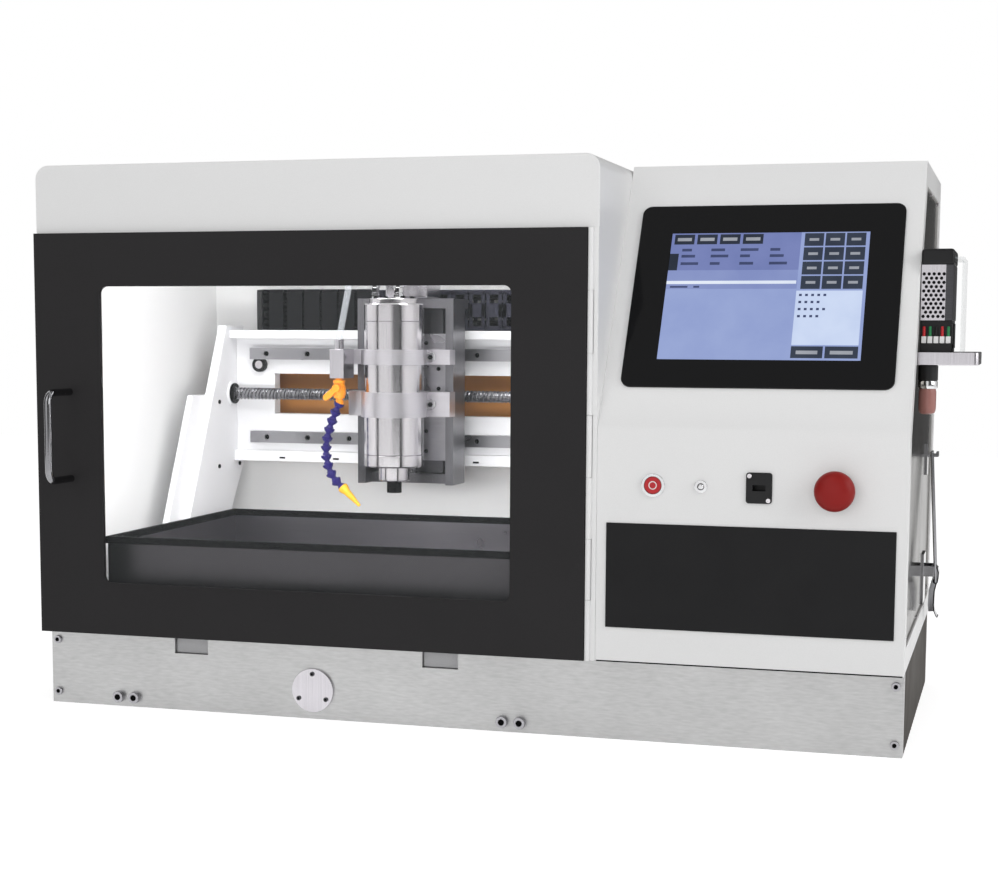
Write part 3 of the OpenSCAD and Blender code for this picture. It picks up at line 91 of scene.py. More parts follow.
# %% [markdown]
# ## Helpers for node trees
# Sky, finishes and repeats are all node trees. Two helpers keep them short: one adds a node with its
# settings and the values of its inputs, the other draws the links.

# %% Node helpers
def add(tree, kind, values=(), **settings):
    """A new node with its settings, and values for its inputs by name or number."""
    node = tree.nodes.new(kind)
    for label, value in settings.items():
        setattr(node, label, value)
    for label, value in dict(values).items():
        node.inputs[label].default_value = value
    return node


def wire(tree, *links):
    """Links, each from a node's output to another node's input."""
    for source, output, target, label in links:
        tree.links.new(source.outputs[output], target.inputs[label])


def new_material(name, values):
    """A material with these values in its Principled shader, its tree and the shader."""
    material = bpy.data.materials.new(name)
    material.use_nodes = True
    shader = material.node_tree.nodes["Principled BSDF"]
    for label, value in values.items():
        shader.inputs[label].default_value = value
    return material, material.node_tree, shader


def ray_is(tree, target, *kinds):
    """Sends one to a socket where a ray is of any of these kinds."""
    path = add(tree, "ShaderNodeLightPath")
    answer = path.outputs[kinds[0]]
    for kind in kinds[1:]:
        either = add(tree, "ShaderNodeMath", operation="MAXIMUM")
        tree.links.new(answer, either.inputs[0])
        tree.links.new(path.outputs[kind], either.inputs[1])
        answer = either.outputs[0]
    tree.links.new(answer, target)


print("helpers: add, wire, new_material, ray_is")

# %% [markdown]
# ## Floor, sky and lamps
# A product photograph stands on white. Here the sky is white only for rays that the camera sends, directly
# or through glass, so it shows white without lighting the object too much. Metal would look flat in an
# all-white room, so a ray that comes off metal meets a room with tall bright panels and dark gaps between
# them. The floor glows a little for the rays that see it, enough to reach white where nothing shades it,
# and it keeps the soft shadow under the machine.

# %% Sky and floor
scene.view_settings.view_transform = "Standard"
WHITE_LIGHT = (1, 1, 1, 1)
SKY_LEVEL = 0.5
MIRROR_LOW, MIRROR_HIGH = 0.12, 1.0
PANELS_ROUND, PANELS_START = 3, 1.0
PANEL_EDGE = 0.5
FLOOR_GREY = 0.82
FLOOR_GLOW = 0.62
FLOOR_SIZE = 9.0

sky = bpy.data.worlds.new("white_sky")
sky.use_nodes = True
sky_tree = sky.node_tree
dim = sky_tree.nodes["Background"]
dim.inputs["Color"].default_value = WHITE_LIGHT
dim.inputs["Strength"].default_value = SKY_LEVEL
bright = add(sky_tree, "ShaderNodeBackground", {"Color": WHITE_LIGHT, "Strength": 1.0})
room = add(sky_tree, "ShaderNodeBackground", {"Color": WHITE_LIGHT})
room_way = add(sky_tree, "ShaderNodeTexCoord")
room_split = add(sky_tree, "ShaderNodeSeparateXYZ")
room_turn = add(sky_tree, "ShaderNodeMath", operation="ARCTAN2")
room_times = add(sky_tree, "ShaderNodeMath", {1: PANELS_ROUND, 2: PANELS_START}, operation="MULTIPLY_ADD")
room_wave = add(sky_tree, "ShaderNodeMath", operation="SINE")
room_range = add(
    sky_tree,
    "ShaderNodeMapRange",
    {"From Min": -PANEL_EDGE, "From Max": PANEL_EDGE, "To Min": MIRROR_LOW, "To Max": MIRROR_HIGH},
    interpolation_type="SMOOTHSTEP",
)
choose = add(sky_tree, "ShaderNodeMixShader")
mirrored = add(sky_tree, "ShaderNodeMixShader")
ray_is(sky_tree, choose.inputs[0], "Is Camera Ray", "Is Transmission Ray")
ray_is(sky_tree, mirrored.inputs[0], "Is Glossy Ray")
wire(
    sky_tree,
    (room_way, "Generated", room_split, 0), (room_split, "Y", room_turn, 0), (room_split, "X", room_turn, 1),
    (room_turn, 0, room_times, 0), (room_times, 0, room_wave, 0), (room_wave, 0, room_range, "Value"),
    (room_range, "Result", room, "Strength"), (dim, 0, choose, 1), (bright, 0, choose, 2),
    (choose, 0, mirrored, 1), (room, 0, mirrored, 2),
    (mirrored, 0, sky_tree.nodes["World Output"], "Surface"),
)
scene.world = sky

floor_finish, floor_tree, floor_shader = new_material(
    "floor_white",
    {
        "Base Color": (FLOOR_GREY, FLOOR_GREY, FLOOR_GREY, 1),
        "Roughness": 0.9,
        "Specular IOR Level": 0.0,
        "Emission Color": WHITE_LIGHT,
    },
)
glow = add(floor_tree, "ShaderNodeMath", {1: FLOOR_GLOW}, operation="MULTIPLY")
ray_is(floor_tree, glow.inputs[0], "Is Camera Ray", "Is Transmission Ray", "Is Glossy Ray")
wire(floor_tree, (glow, 0, floor_shader, "Emission Strength"))

floor_mesh = bpy.data.meshes.new("floor")
half = FLOOR_SIZE / 2
floor_corners = [(-half, -half, 0), (half, -half, 0), (half, half, 0), (-half, half, 0)]
floor_mesh.from_pydata(floor_corners, [], [(0, 1, 2, 3)])
floor_mesh.materials.append(floor_finish)
floor = bpy.data.objects.new("floor", floor_mesh)
scene.collection.objects.link(floor)
print("floor:", FLOOR_SIZE, "m square")

# %% [markdown]
# Three large lamps do the lighting from outside: a key from the upper left, a broad one from the front that
# reaches through the window to the back wall, and one from the right. The broad one stays out of
# reflections. Two strips under the roof light the inside, and a weak one behind the door reaches the lower
# back wall.

# %% Lamps
KEY_WATTS, FRONT_WATTS, FILL_WATTS, ROOF_WATTS, DOOR_WATTS = 7, 17, 23, 0.68, 1.4
KEY_PLACE, KEY_SIZE = Vector((-1.5, -2.4, 2.3)), (2.2, 1.6)
FRONT_PLACE, FRONT_SIZE = Vector((0.2, -2.9, 0.75)), (2.4, 1.2)
FILL_PLACE, FILL_SIZE = Vector((2.6, -1.1, 1.2)), (1.8, 1.8)
AIM = Vector((0.0, -0.1, 0.3))
ROOF_STRIP, DOOR_STRIP = (0.5, 0.04), (0.45, 0.06)
ROOF_IN, ROOF_DROP, ROOF_AIM_BACK = 0.035, 0.012, 0.05
DOOR_GAP, DOOR_LAMP_Z, DOOR_AIM_Z = 0.012, 0.27, 0.23


def lamp(name, place, aim, watts, size):
    """A rectangular lamp that looks from place to aim."""
    light = bpy.data.lights.new(name, "AREA")
    light.shape = "RECTANGLE"
    light.size, light.size_y = size
    light.energy = watts
    holder = bpy.data.objects.new(name, light)
    holder.location = place
    holder.rotation_euler = (aim - place).to_track_quat("-Z", "Y").to_euler()
    scene.collection.objects.link(holder)
    return holder


lamp("key_lamp", KEY_PLACE, AIM, KEY_WATTS, KEY_SIZE)
front_lamp = lamp("front_lamp", FRONT_PLACE, AIM, FRONT_WATTS, FRONT_SIZE)
front_lamp.visible_glossy = False
lamp("fill_lamp", FILL_PLACE, AIM, FILL_WATTS, FILL_SIZE)
hood_low, hood_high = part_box("hood_shell")
hood_middle = (hood_low + hood_high) / 2
for name, y in (("front_strip", hood_low.y + ROOF_IN), ("rear_strip", hood_middle.y)):
    above = Vector((hood_middle.x, y, hood_high.z - ROOF_DROP))
    below = Vector((hood_middle.x, hood_middle.y + ROOF_AIM_BACK, hood_low.z))
    lamp(name, above, below, ROOF_WATTS, ROOF_STRIP)
behind_door = Vector((hood_middle.x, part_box("door_panel")[1].y + DOOR_GAP, DOOR_LAMP_Z))
back_wall = Vector((hood_middle.x, hood_high.y, DOOR_AIM_Z))
inside = lamp("door_strip", behind_door, back_wall, DOOR_WATTS, DOOR_STRIP)
inside.visible_glossy = inside.visible_camera = inside.visible_transmission = False
print("lamps: key, front, fill, two strips under the roof and one behind the door")

# %% [markdown]
# ## Finishes
# Every finish starts from two patterns that are used again and again, so each is a node group. Drawn grain
# is the fine streak that a belt or a rolling mill leaves in metal: noise that is stretched along one
# direction. Handling marks are broad, faint clouds, where a surface has been wiped or touched, and they
# move the roughness a little up and down. Both read Object coordinates, so the pattern stays on the piece
# when it moves.

# %% Pattern groups
GRAIN_DETAIL, MARKS_DETAIL = 5.0, 3.0
MARKS_FROM, MARKS_TO = 0.3, 0.7


def pattern_group(name, inputs, output):
    """An empty shader node group with named inputs and one output."""
    group = bpy.data.node_groups.new(name, "ShaderNodeTree")
    for label, kind in inputs.items():
        group.interface.new_socket(label, in_out="INPUT", socket_type=kind)
    group.interface.new_socket(output, in_out="OUTPUT", socket_type="NodeSocketFloat")
    return group, add(group, "NodeGroupInput"), add(group, "NodeGroupOutput")


GRAIN, grain_in, grain_out = pattern_group("drawn_grain", {"Streak": "NodeSocketVector"}, "Tone")
grain_place = add(GRAIN, "ShaderNodeTexCoord")
grain_stretch = add(GRAIN, "ShaderNodeVectorMath", operation="MULTIPLY")
grain_noise = add(GRAIN, "ShaderNodeTexNoise", {"Scale": 1.0, "Detail": GRAIN_DETAIL})
wire(
    GRAIN,
    (grain_place, "Object", grain_stretch, 0), (grain_in, "Streak", grain_stretch, 1),
    (grain_stretch, 0, grain_noise, "Vector"), (grain_noise, "Fac", grain_out, "Tone"),
)

MARKS, marks_in, marks_out = pattern_group(
    "handling_marks", dict.fromkeys(("Size", "Low", "High"), "NodeSocketFloat"), "Level"
)
marks_place = add(MARKS, "ShaderNodeTexCoord")
marks_scale = add(MARKS, "ShaderNodeVectorMath", operation="SCALE")
marks_noise = add(MARKS, "ShaderNodeTexNoise", {"Scale": 1.0, "Detail": MARKS_DETAIL})
marks_range = add(MARKS, "ShaderNodeMapRange", {"From Min": MARKS_FROM, "From Max": MARKS_TO})
wire(
    MARKS,
    (marks_place, "Object", marks_scale, 0), (marks_in, "Size", marks_scale, "Scale"),
    (marks_scale, 0, marks_noise, "Vector"), (marks_noise, "Fac", marks_range, "Value"),
    (marks_in, "Low", marks_range, "To Min"), (marks_in, "High", marks_range, "To Max"),
    (marks_range, "Result", marks_out, "Level"),
)
print("patterns:", GRAIN.name, MARKS.name)

# %% [markdown]
# A finish is then a Principled shader with a tone that moves between two colours, a roughness that moves
# between two levels, and a little bump. Paint has a fine orange peel, metal has drawn grain, and moulded
# plastic has a faint texture from its mould. Colours are written as they look on screen and turned into the
# linear values that Blender counts in.

# %% Finish builders
PEEL = (900, 900, 900)
MOULD = (1600, 1600, 1600)
ALONG_X = (14, 1500, 1500)
ALONG_Y = (1500, 14, 1500)
ALONG_Z = (1500, 1500, 14)
BUMP_DEPTH = 0.2 * MM


def linear(tone):
    """A screen colour such as #d7d7d7 as linear red, green, blue and alpha."""
    parts = [int(tone[i:i + 2], 16) / 255 for i in (1, 3, 5)]
    return tuple(p / 12.92 if p <= 0.04045 else ((p + 0.055) / 1.055) ** 2.4 for p in parts) + (1.0,)


def group_node(tree, group, **values):
    return add(tree, "ShaderNodeGroup", values, node_tree=group)


def tone_mix(tree, dark, light):
    return add(tree, "ShaderNodeMix", {"A": linear(dark), "B": linear(light)}, data_type="RGBA")


def finish(name, dark, light, rough, streak, marks=9.0, bump=0.1, metallic=0.0, gloss=0.5, edge="#ffffff"):
    """A finish whose tone follows a streak pattern, and whose roughness follows broad marks."""
    values = {"Metallic": metallic, "Specular IOR Level": gloss, "Specular Tint": linear(edge)}
    material, tree, shader = new_material(name, values)
    grain = group_node(tree, GRAIN, Streak=streak)
    wear = group_node(tree, MARKS, Size=marks, Low=rough[0], High=rough[1])
    tone = tone_mix(tree, dark, light)
    relief = add(tree, "ShaderNodeBump", {"Strength": bump, "Distance": BUMP_DEPTH})
    wire(
        tree,
        (grain, "Tone", tone, "Factor"), (tone, "Result", shader, "Base Color"),
        (wear, "Level", shader, "Roughness"), (grain, "Tone", relief, "Height"),
        (relief, "Normal", shader, "Normal"),
    )
    return material


def paint(name, dark, light, rough=(0.32, 0.42), gloss=0.4):
    return finish(name, dark, light, rough, PEEL, bump=0.04, gloss=gloss)


def metal(name, dark, light, rough, streak=ALONG_X, bump=0.12, edge="#ffffff"):
    return finish(name, dark, light, rough, streak, marks=12.0, bump=bump, metallic=1.0, edge=edge)


def plastic(name, dark, light, rough=(0.38, 0.5), gloss=0.3):
    return finish(name, dark, light, rough, MOULD, marks=25.0, bump=0.03, gloss=gloss)


def clear(name, tint, alpha, rough):
    """A clear sheet: mostly see-through, with its own reflections and faint marks."""
    material, tree, shader = new_material(name, {"Base Color": linear(tint), "Alpha": alpha})
    wear = group_node(tree, MARKS, Size=7.0, Low=rough[0], High=rough[1])
    wire(tree, (wear, "Level", shader, "Roughness"))
    return material


# %% Finishes of this machine
# A dark edge tint for the two side metals below: it darkens their reflections, part of their painted dark
# reflection.
PAINTED_DARK_EDGE = "#77736e"
WHITE = paint("white_paint", "#e4e4e4", "#ececec")
INNER_WHITE = paint("gantry_paint", "#e4e4e6", "#eeeef0")
DOOR_DARK = paint("door_charcoal", "#262526", "#2d2c2d", (0.4, 0.55), 0.12)
BLACK_PAINT = paint("black_paint", "#121213", "#19191b", (0.4, 0.55), 0.2)
BASE_METAL = metal("base_brushed", "#a9a9a9", "#c9c9c9", (0.34, 0.48), (90, 500, 500), 0.06)
PLATE = metal("plate_satin", "#b7b4b9", "#d6d3d8", (0.16, 0.26), ALONG_Z, 0.05)
TENON = paint("tenon_grey", "#b2b2b4", "#c0c0c2", (0.5, 0.6), 0.2)
CHEEK = metal("cheek_polished", "#66656a", "#8e8d91", (0.28, 0.38), ALONG_Z, 0.05)
GROUND = metal("ground_steel", "#98979b", "#bcbbbf", (0.26, 0.36))
BRIGHT = metal("bright_steel", "#bab7ba", "#dddadd", (0.12, 0.2), ALONG_Z, 0.04)
THREAD = metal("thread_steel", "#77777a", "#a8a8ab", (0.16, 0.26))
CHROME = metal("chrome", "#c4c4c6", "#e6e6e7", (0.03, 0.07), ALONG_Z, 0.02)
# A darker copy of the chrome for the latch and the door handle: painted dark reflection.
CHROME_PAINTED_DARK = metal("chrome_painted_dark", "#77777a", "#a2a2a5", (0.05, 0.12), ALONG_Z, 0.02)
STAINLESS = metal("tray_stainless", "#a09ea3", "#bbb9be", (0.26, 0.38), ALONG_X, 0.04)
# A darker copy of the tray's stainless for its front wall: painted dark reflection.
TRAY_FRONT_PAINTED_DARK = metal("tray_front_painted_dark", "#3d3b3e", "#504e51", (0.3, 0.42), ALONG_X, 0.04)
# The side panel's tone swings between dark brown-grey and pale in broad upright streaks: a painted reflection
# of a room, laid over polished steel.
MIRROR_STEEL_PAINTED_REFLECTION = metal("side_polished", "#3b3733", "#a8a49e", (0.06, 0.14), (38, 38, 1.3), 0.02, PAINTED_DARK_EDGE)
# The base's sides are a darker copy of its metal: painted shade for the dark reflection that falls on them.
BASE_SIDE_PAINTED_SHADE = metal("base_side_painted_shade", "#5a5856", "#787674", (0.3, 0.42), ALONG_Y, 0.05, PAINTED_DARK_EDGE)
CLAMP = metal("clamp_satin", "#c4c1c6", "#dfdce1", (0.32, 0.42), ALONG_X, 0.05)
DARK_STEEL = metal("dark_steel", "#3a3a3c", "#5a5a5d", (0.25, 0.4))
BLACK_STEEL = metal("blackened_steel", "#0d0d0e", "#1b1b1d", (0.36, 0.48))
BRASS = metal("brass", "#a98545", "#d9b46c", (0.2, 0.32))
BLACK_PLASTIC = plastic("black_plastic", "#0f0f10", "#171719")
PANEL_BLACK = plastic("panel_black", "#1c1c1d", "#232324", (0.45, 0.58), 0.12)
RUBBER = plastic("trim_rubber", "#060607", "#0b0b0c", (0.5, 0.65), 0.04)
CHAIN_BLACK = plastic("chain_black", "#0c0c0e", "#131316", (0.42, 0.56), 0.12)
CHAIN_GREY = plastic("chain_grey", "#2c2c37", "#383844", (0.42, 0.56), 0.15)
GLASS_BLACK = finish("screen_glass", "#0a0a0b", "#0e0e10", (0.05, 0.1), MOULD, bump=0.0, gloss=0.12)
RED = plastic("stop_red", "#7e120f", "#951713", (0.34, 0.46), 0.25)
ORANGE = plastic("valve_orange", "#d97a10", "#f09626", (0.3, 0.4))
PURPLE = plastic("hose_purple", "#1b1450", "#281f68", (0.28, 0.38), 0.2)
YELLOW = plastic("nozzle_yellow", "#dfa01a", "#f2bd3c", (0.3, 0.4))
WHITE_PLASTIC = plastic("white_plastic", "#dddcdc", "#ececec", (0.34, 0.45))
GREEN = plastic("wire_green", "#1e6b3f", "#2f8a55")
WIRE_RED = plastic("wire_red", "#a81d22", "#c8353a")
CUP_RED = plastic("cup_red", "#96635d", "#ad7d76", (0.15, 0.25))
COPPER_BOARD = finish("liner_brown", "#a86f35", "#cf9150", (0.3, 0.45), (6, 3, 9), bump=0.03, gloss=0.3)
PANE = clear("window_pane", "#e8eef0", 0.02, (0.02, 0.06))
GUARD = clear("guard_clear", "#dfe8ea", 0.16, (0.04, 0.1))
HOSE_CLEAR = clear("hose_clear", "#c6cacf", 0.3, (0.03, 0.08))
print("finishes:", len(bpy.data.materials))

# %% [markdown]
# ## Rounded edges
# No real edge is perfectly sharp. A folded sheet, a milled plate or a moulding always has a small radius,
# and it is that radius which catches a line of light. The solids come as loose triangles, so a copy is
# welded, its flat faces are joined, and a bevel rounds the edges that are steeper than a facet of a
# cylinder. The copy then stands for its node.

# %% Rounded copies
WELD = 0.002 * MM
FLAT = math.radians(0.4)
STEEP = math.radians(32)


def new_object(name, mesh):
    piece = bpy.data.objects.new(name, mesh)
    scene.collection.objects.link(piece)
    return piece


def baked(piece):
    """The piece with its modifiers turned into plain mesh."""
    depsgraph = bpy.context.evaluated_depsgraph_get()
    mesh = bpy.data.meshes.new_from_object(piece.evaluated_get(depsgraph), depsgraph=depsgraph)
    piece.modifiers.clear()
    piece.data = mesh
    return piece


def level_normals(piece):
    """Lets the large flat faces keep flat light, so that only the rounded edges turn it."""
    level = piece.modifiers.new("level", "WEIGHTED_NORMAL")
    level.weight = 100
    level.keep_sharp = True


def settle(piece, node, stands=True):
    """Lets a piece ride with a node's body, and hides the node if the piece stands for it."""
    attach(piece, BODY_OF[node])
    if stands:
        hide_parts(node)
    return piece


def rounded(node, radius_mm, material):
    """A copy of a node with rounded edges, in a finish."""
    mesh = NODES[node].data.copy()
    mesh.name = node + "_skin"
    shape = bmesh.new()
    shape.from_mesh(mesh)
    bmesh.ops.remove_doubles(shape, verts=shape.verts, dist=WELD)
    bmesh.ops.dissolve_limit(shape, angle_limit=FLAT, verts=shape.verts, edges=shape.edges)
    shape.to_mesh(mesh)
    shape.free()
    mesh.materials.clear()
    mesh.materials.append(material)
    mesh.shade_smooth()
    piece = new_object(node + "_skin", mesh)
    bevel = piece.modifiers.new("rounding", "BEVEL")
    bevel.width = radius_mm * MM
    bevel.segments = 2
    bevel.limit_method = "ANGLE"
    bevel.angle_limit = STEEP
    level_normals(piece)
    return settle(baked(piece), node)


ROUNDED = [
    (0.8, WHITE, "hood_shell control_shell"),
    (0.4, WHITE, "hinge_hood_leaf"),
    (0.8, INNER_WHITE, "gantry_sides x_beam"),
    (0.7, BASE_METAL, "base_front_plate base_rear_plate gantry_foot"),
    (0.7, BASE_SIDE_PAINTED_SHADE, "base_sides"),
    (0.4, TENON, "bed"),
    (0.4, PLATE, "screw_end_cover"),
    (0.6, PLATE, "work_table coolant_block"),
    (0.6, CLAMP, "spindle_clamps"),
    (0.6, CHEEK, "z_frame x_plate"),
    (0.6, GROUND, "spindle_plate"),
    (0.5, DOOR_DARK, "door_panel"),
    (0.6, GLASS_BLACK, "screen_bezel"),
    (0.4, PANEL_BLACK, "name_panel"),
    (0.4, BLACK_PLASTIC, "stop_collar mains_inlet data_socket"),
    (0.4, CHROME, "button_rings start_cap"),
    (0.4, CHROME_PAINTED_DARK, "latch_plates"),
    (0.4, RED, "stop_stem"),
    (0.8, PLATE, "side_shelf"),
    (0.5, GUARD, "supply_guard"),
    (0.5, RUBBER, "tray_trim"),
    (0.4, STAINLESS, "tray"),
    (0.3, COPPER_BOARD, "rear_liner"),
    (0.4, GROUND, "x_rails y_rails"),
]
for radius_mm, material, names in ROUNDED:
    for node in names.split():
        rounded(node, radius_mm, material)
print("rounded:", sum(len(names.split()) for _, _, names in ROUNDED), "nodes")

# %% [markdown]
# A few solids keep their own mesh and only get a finish. The hinge knuckles on the door are white like the
# hood, and the tray's front gets a darker copy of its steel, a painted dark reflection, so some faces of
# those two copies get a second finish.

# %% Plain nodes and second finishes
PLAIN = [
    (BASE_METAL, "base_floor"),
    (MIRROR_STEEL_PAINTED_REFLECTION, "control_side_panel"),
    (CHROME_PAINTED_DARK, "door_handle latch_bail"),
    (PANE, "door_window"),
]
for material, names in PLAIN:
    for node in names.split():
        for slot in NODES[node].material_slots:
            slot.material = material


def second_finish(name, material, chosen):
    """Gives another finish to the faces whose middle is chosen."""
    mesh = bpy.data.objects[name].data
    mesh.materials.append(material)
    for face in mesh.polygons:
        if chosen(face.center):
            face.material_index = 1


KNUCKLE_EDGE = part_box("hinge_hood_leaf")[0].x
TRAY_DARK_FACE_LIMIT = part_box("tray")[0].y + 1 * MM
second_finish("door_panel_skin", WHITE, lambda middle: middle.x > KNUCKLE_EDGE)
# The tray's front faces get the darker copy of its steel: painted dark reflection.
second_finish("tray_skin", TRAY_FRONT_PAINTED_DARK, lambda middle: middle.y < TRAY_DARK_FACE_LIMIT)
print("plain:", sum(len(names.split()) for _, names in PLAIN), "nodes")

# %% [markdown]
# ## Shapes that are turned, boxed or swept
# Three helpers make most of the new pieces. A turned shape spins a profile of radii and heights about an
# axis, as a lathe does. A block is a box with rounded edges. A swept tube follows points and serves for
# hoses and wires. Parts of one piece are then joined into one mesh, each part with its own finish.

# %% Turned shapes, blocks and tubes
def mesh_of(shape, name="shape"):
    """A bmesh turned into a mesh."""
    mesh = bpy.data.meshes.new(name)
    shape.to_mesh(mesh)
    shape.free()
    return mesh


def turned(profile, sides=40):
    """A mesh turned about Z from (radius, height) pairs in millimetres, from the bottom up."""
    shape = bmesh.new()
    rings = []
    for radius, height in profile:
        count = sides if radius > 0 else 1
        turns = [2 * math.pi * i / count for i in range(count)]
        ring = [(radius * MM * math.cos(t), radius * MM * math.sin(t), height * MM) for t in turns]
        rings.append([shape.verts.new(place) for place in ring])
    for low, high in zip(rings, rings[1:]):
        for i in range(max(len(low), len(high))):
            after = i + 1
            corners = [low[i % len(low)], low[after % len(low)], high[after % len(high)], high[i % len(high)]]
            shape.faces.new(list(dict.fromkeys(corners)))
    bmesh.ops.recalc_face_normals(shape, faces=shape.faces)
    return mesh_of(shape)


def block(low, high, radius=0.6, segments=2):
    """A box between two corners in millimetres, with rounded edges."""
    shape = bmesh.new()
    bmesh.ops.create_cube(shape, size=1.0)
    low, high = Vector(low) * MM, Vector(high) * MM
    for vert in shape.verts:
        vert.co = [low[i] + (vert.co[i] + 0.5) * (high[i] - low[i]) for i in range(3)]
    if radius > 0:
        bmesh.ops.bevel(
            shape, geom=shape.edges[:], offset=radius * MM, segments=segments, affect="EDGES", profile=0.5
        )
    return mesh_of(shape)


def swept(points, radius, sides):
    """A tube through points in metres; sides is the curve's bevel resolution."""
    line = bpy.data.curves.new("swept", "CURVE")
    line.dimensions = "3D"
    line.bevel_depth = radius
    line.bevel_resolution = sides
    line.use_fill_caps = True
    spline = line.splines.new("POLY")
    spline.points.add(len(points) - 1)
    for spot, place in zip(spline.points, points):
        spot.co = (*place, 1)
    holder = bpy.data.objects.new("swept", line)
    mesh = bpy.data.meshes.new_from_object(holder)
    bpy.data.objects.remove(holder)
    return mesh


def placed(mesh, place=(0, 0, 0), turn=Matrix.Identity(4)):
    """The mesh after a turn and a move to a place in metres."""
    mesh.transform(Matrix.Translation(Vector(place)) @ turn)
    return mesh


def joined(name, parts, sharp=STEEP):
    """One object from (mesh, finish) parts, with a material slot for each finish."""
    materials = list(dict.fromkeys(material for _, material in parts))
    whole = bmesh.new()
    for mesh, material in parts:
        before = len(whole.faces)
        whole.from_mesh(mesh)
        whole.faces.ensure_lookup_table()
        for face in whole.faces[before:]:
            face.material_index = materials.index(material)
        bpy.data.meshes.remove(mesh)
    mesh = mesh_of(whole, name)
    for material in materials:
        mesh.materials.append(material)
    mesh.shade_smooth()
    mesh.set_sharp_from_angle(angle=sharp)
    piece = new_object(name, mesh)
    level_normals(piece)
    return baked(piece)


def mm_box(node):
    """A node's low and high corners in millimetres."""
    return [Vector(corner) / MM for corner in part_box(node)]


TO_MINUS_Y = Matrix.Rotation(math.pi / 2, 4, "X")
TO_PLUS_Y = Matrix.Rotation(-math.pi / 2, 4, "X")
TO_PLUS_X = Matrix.Rotation(math.pi / 2, 4, "Y")
TO_MINUS_X = Matrix.Rotation(-math.pi / 2, 4, "Y")
print("helpers: turned, block, swept, placed, joined")

# %% [markdown]
# ## Node trees for what repeats
# Threads, chain links, hose links, keys and screws all repeat by a rule, so Geometry Nodes make them. Each
# tree has named inputs for its sizes. A tree ends in Realize Instances and Set Material, and its result is
# turned into plain mesh, because an exported model keeps no instances.

# %% Tree helpers
def tree_with(name, **inputs):
    """A geometry tree with named inputs, and its input node."""
    tree = bpy.data.node_groups.new(name, "GeometryNodeTree")
    for label, kind in {"Geometry": "Geometry", **inputs, "Finish": "Material"}.items():
        tree.interface.new_socket(label, in_out="INPUT", socket_type="NodeSocket" + kind)
    tree.interface.new_socket("Geometry", in_out="OUTPUT", socket_type="NodeSocketGeometry")
    return tree, add(tree, "NodeGroupInput")


def tree_end(tree, given, last, output):
    """Ends a tree in Realize Instances and Set Material."""
    realize = add(tree, "GeometryNodeRealizeInstances")
    dress = add(tree, "GeometryNodeSetMaterial")
    wire(
        tree,
        (last, output, realize, "Geometry"), (realize, "Geometry", dress, "Geometry"),
        (given, "Finish", dress, "Material"), (dress, "Geometry", add(tree, "NodeGroupOutput"), "Geometry"),
    )


def copies_end(tree, given, source, output):
    """Sets the given piece on the points of a node, and ends the tree; gives the node that sets it."""
    piece = add(tree, "GeometryNodeObjectInfo")
    copies = add(tree, "GeometryNodeInstanceOnPoints")
    wire(
        tree,
        (given, "Piece", piece, "Object"), (source, output, copies, "Points"),
        (piece, "Geometry", copies, "Instance"),
    )
    tree_end(tree, given, copies, "Instances")
    return copies


def grown(tree, host_mesh, **values):
    """The plain mesh that a tree makes on a host mesh with these inputs."""
    host = new_object("host", host_mesh)
    modifier = host.modifiers.new("grow", "NODES")
    modifier.node_group = tree
    for item in tree.interface.items_tree:
        if item.in_out == "INPUT" and item.name in values:
            modifier[item.identifier] = values[item.name]
    mesh = baked(host).data
    bpy.data.objects.remove(host)
    return mesh


def copied(tree, host_mesh, mesh, material, **values):
    """Copies of a small mesh that a tree sets on a host mesh, as one mesh."""
    pattern = new_object("pattern", mesh)
    result = grown(tree, host_mesh, Piece=pattern, Finish=material, **values)
    bpy.data.objects.remove(pattern)
    return result


def points_mesh(places, path=False):
    """A mesh of points in metres, joined into a line if they are a path."""
    mesh = bpy.data.meshes.new("points")
    edges = [(i, i + 1) for i in range(len(places) - 1)] if path else []
    mesh.from_pydata([tuple(place) for place in places], edges, [])
    return mesh


# %% Tree that sets one piece on many points
SET_OUT, set_in = tree_with("set_out", Piece="Object")
copies_end(SET_OUT, set_in, set_in, "Geometry")


def set_out(mesh, places, material):
    """Copies of a small mesh at many places, as a part with its finish."""
    return copied(SET_OUT, points_mesh(places), mesh, material), material


def heads_on(places, diameter, height, turn, material):
    """Cap screw heads with a recess for their key, at places in metres, all turned the same way."""
    r, key, depth = diameter / 2, diameter * 0.27, height * 0.45
    head = turned(
        [(0, 0), (r, 0), (r, height * 0.85), (r * 0.93, height), (key, height), (key, depth), (0, depth)], 20
    )
    return set_out(placed(head, turn=turn), places, material)


def cap_screws(places, diameter, height, turn, material):
    """Cap screw heads, each with a black plug in its key recess as painted shade, as parts for one piece."""
    key, low, high = diameter * 0.25, height * 0.6, height * 1.03
    # A black hexagon fills each key recess: painted shade for the dark inside of the socket.
    recess = turned([(0, low), (key, low), (key, high), (0, high)], 6)
    recess_shade_plugs = set_out(placed(recess, turn=turn), places, RUBBER)
    return [heads_on(places, diameter, height, turn, material), recess_shade_plugs]


print("tree:", SET_OUT.name)

# %% [markdown]
# ## Ball screws
# A ball screw has a round groove that winds along it, two starts here. It could be a bump on a smooth rod,
# but its outline is seen against the bright board behind it, so it is real. The tree winds a round bar
# along a spiral, twice, around a slightly thinner core.

# %% Ball screws
SCREW_LEAD = 10 * MM
STUB_R = 4
CORE_SHARE = 0.84

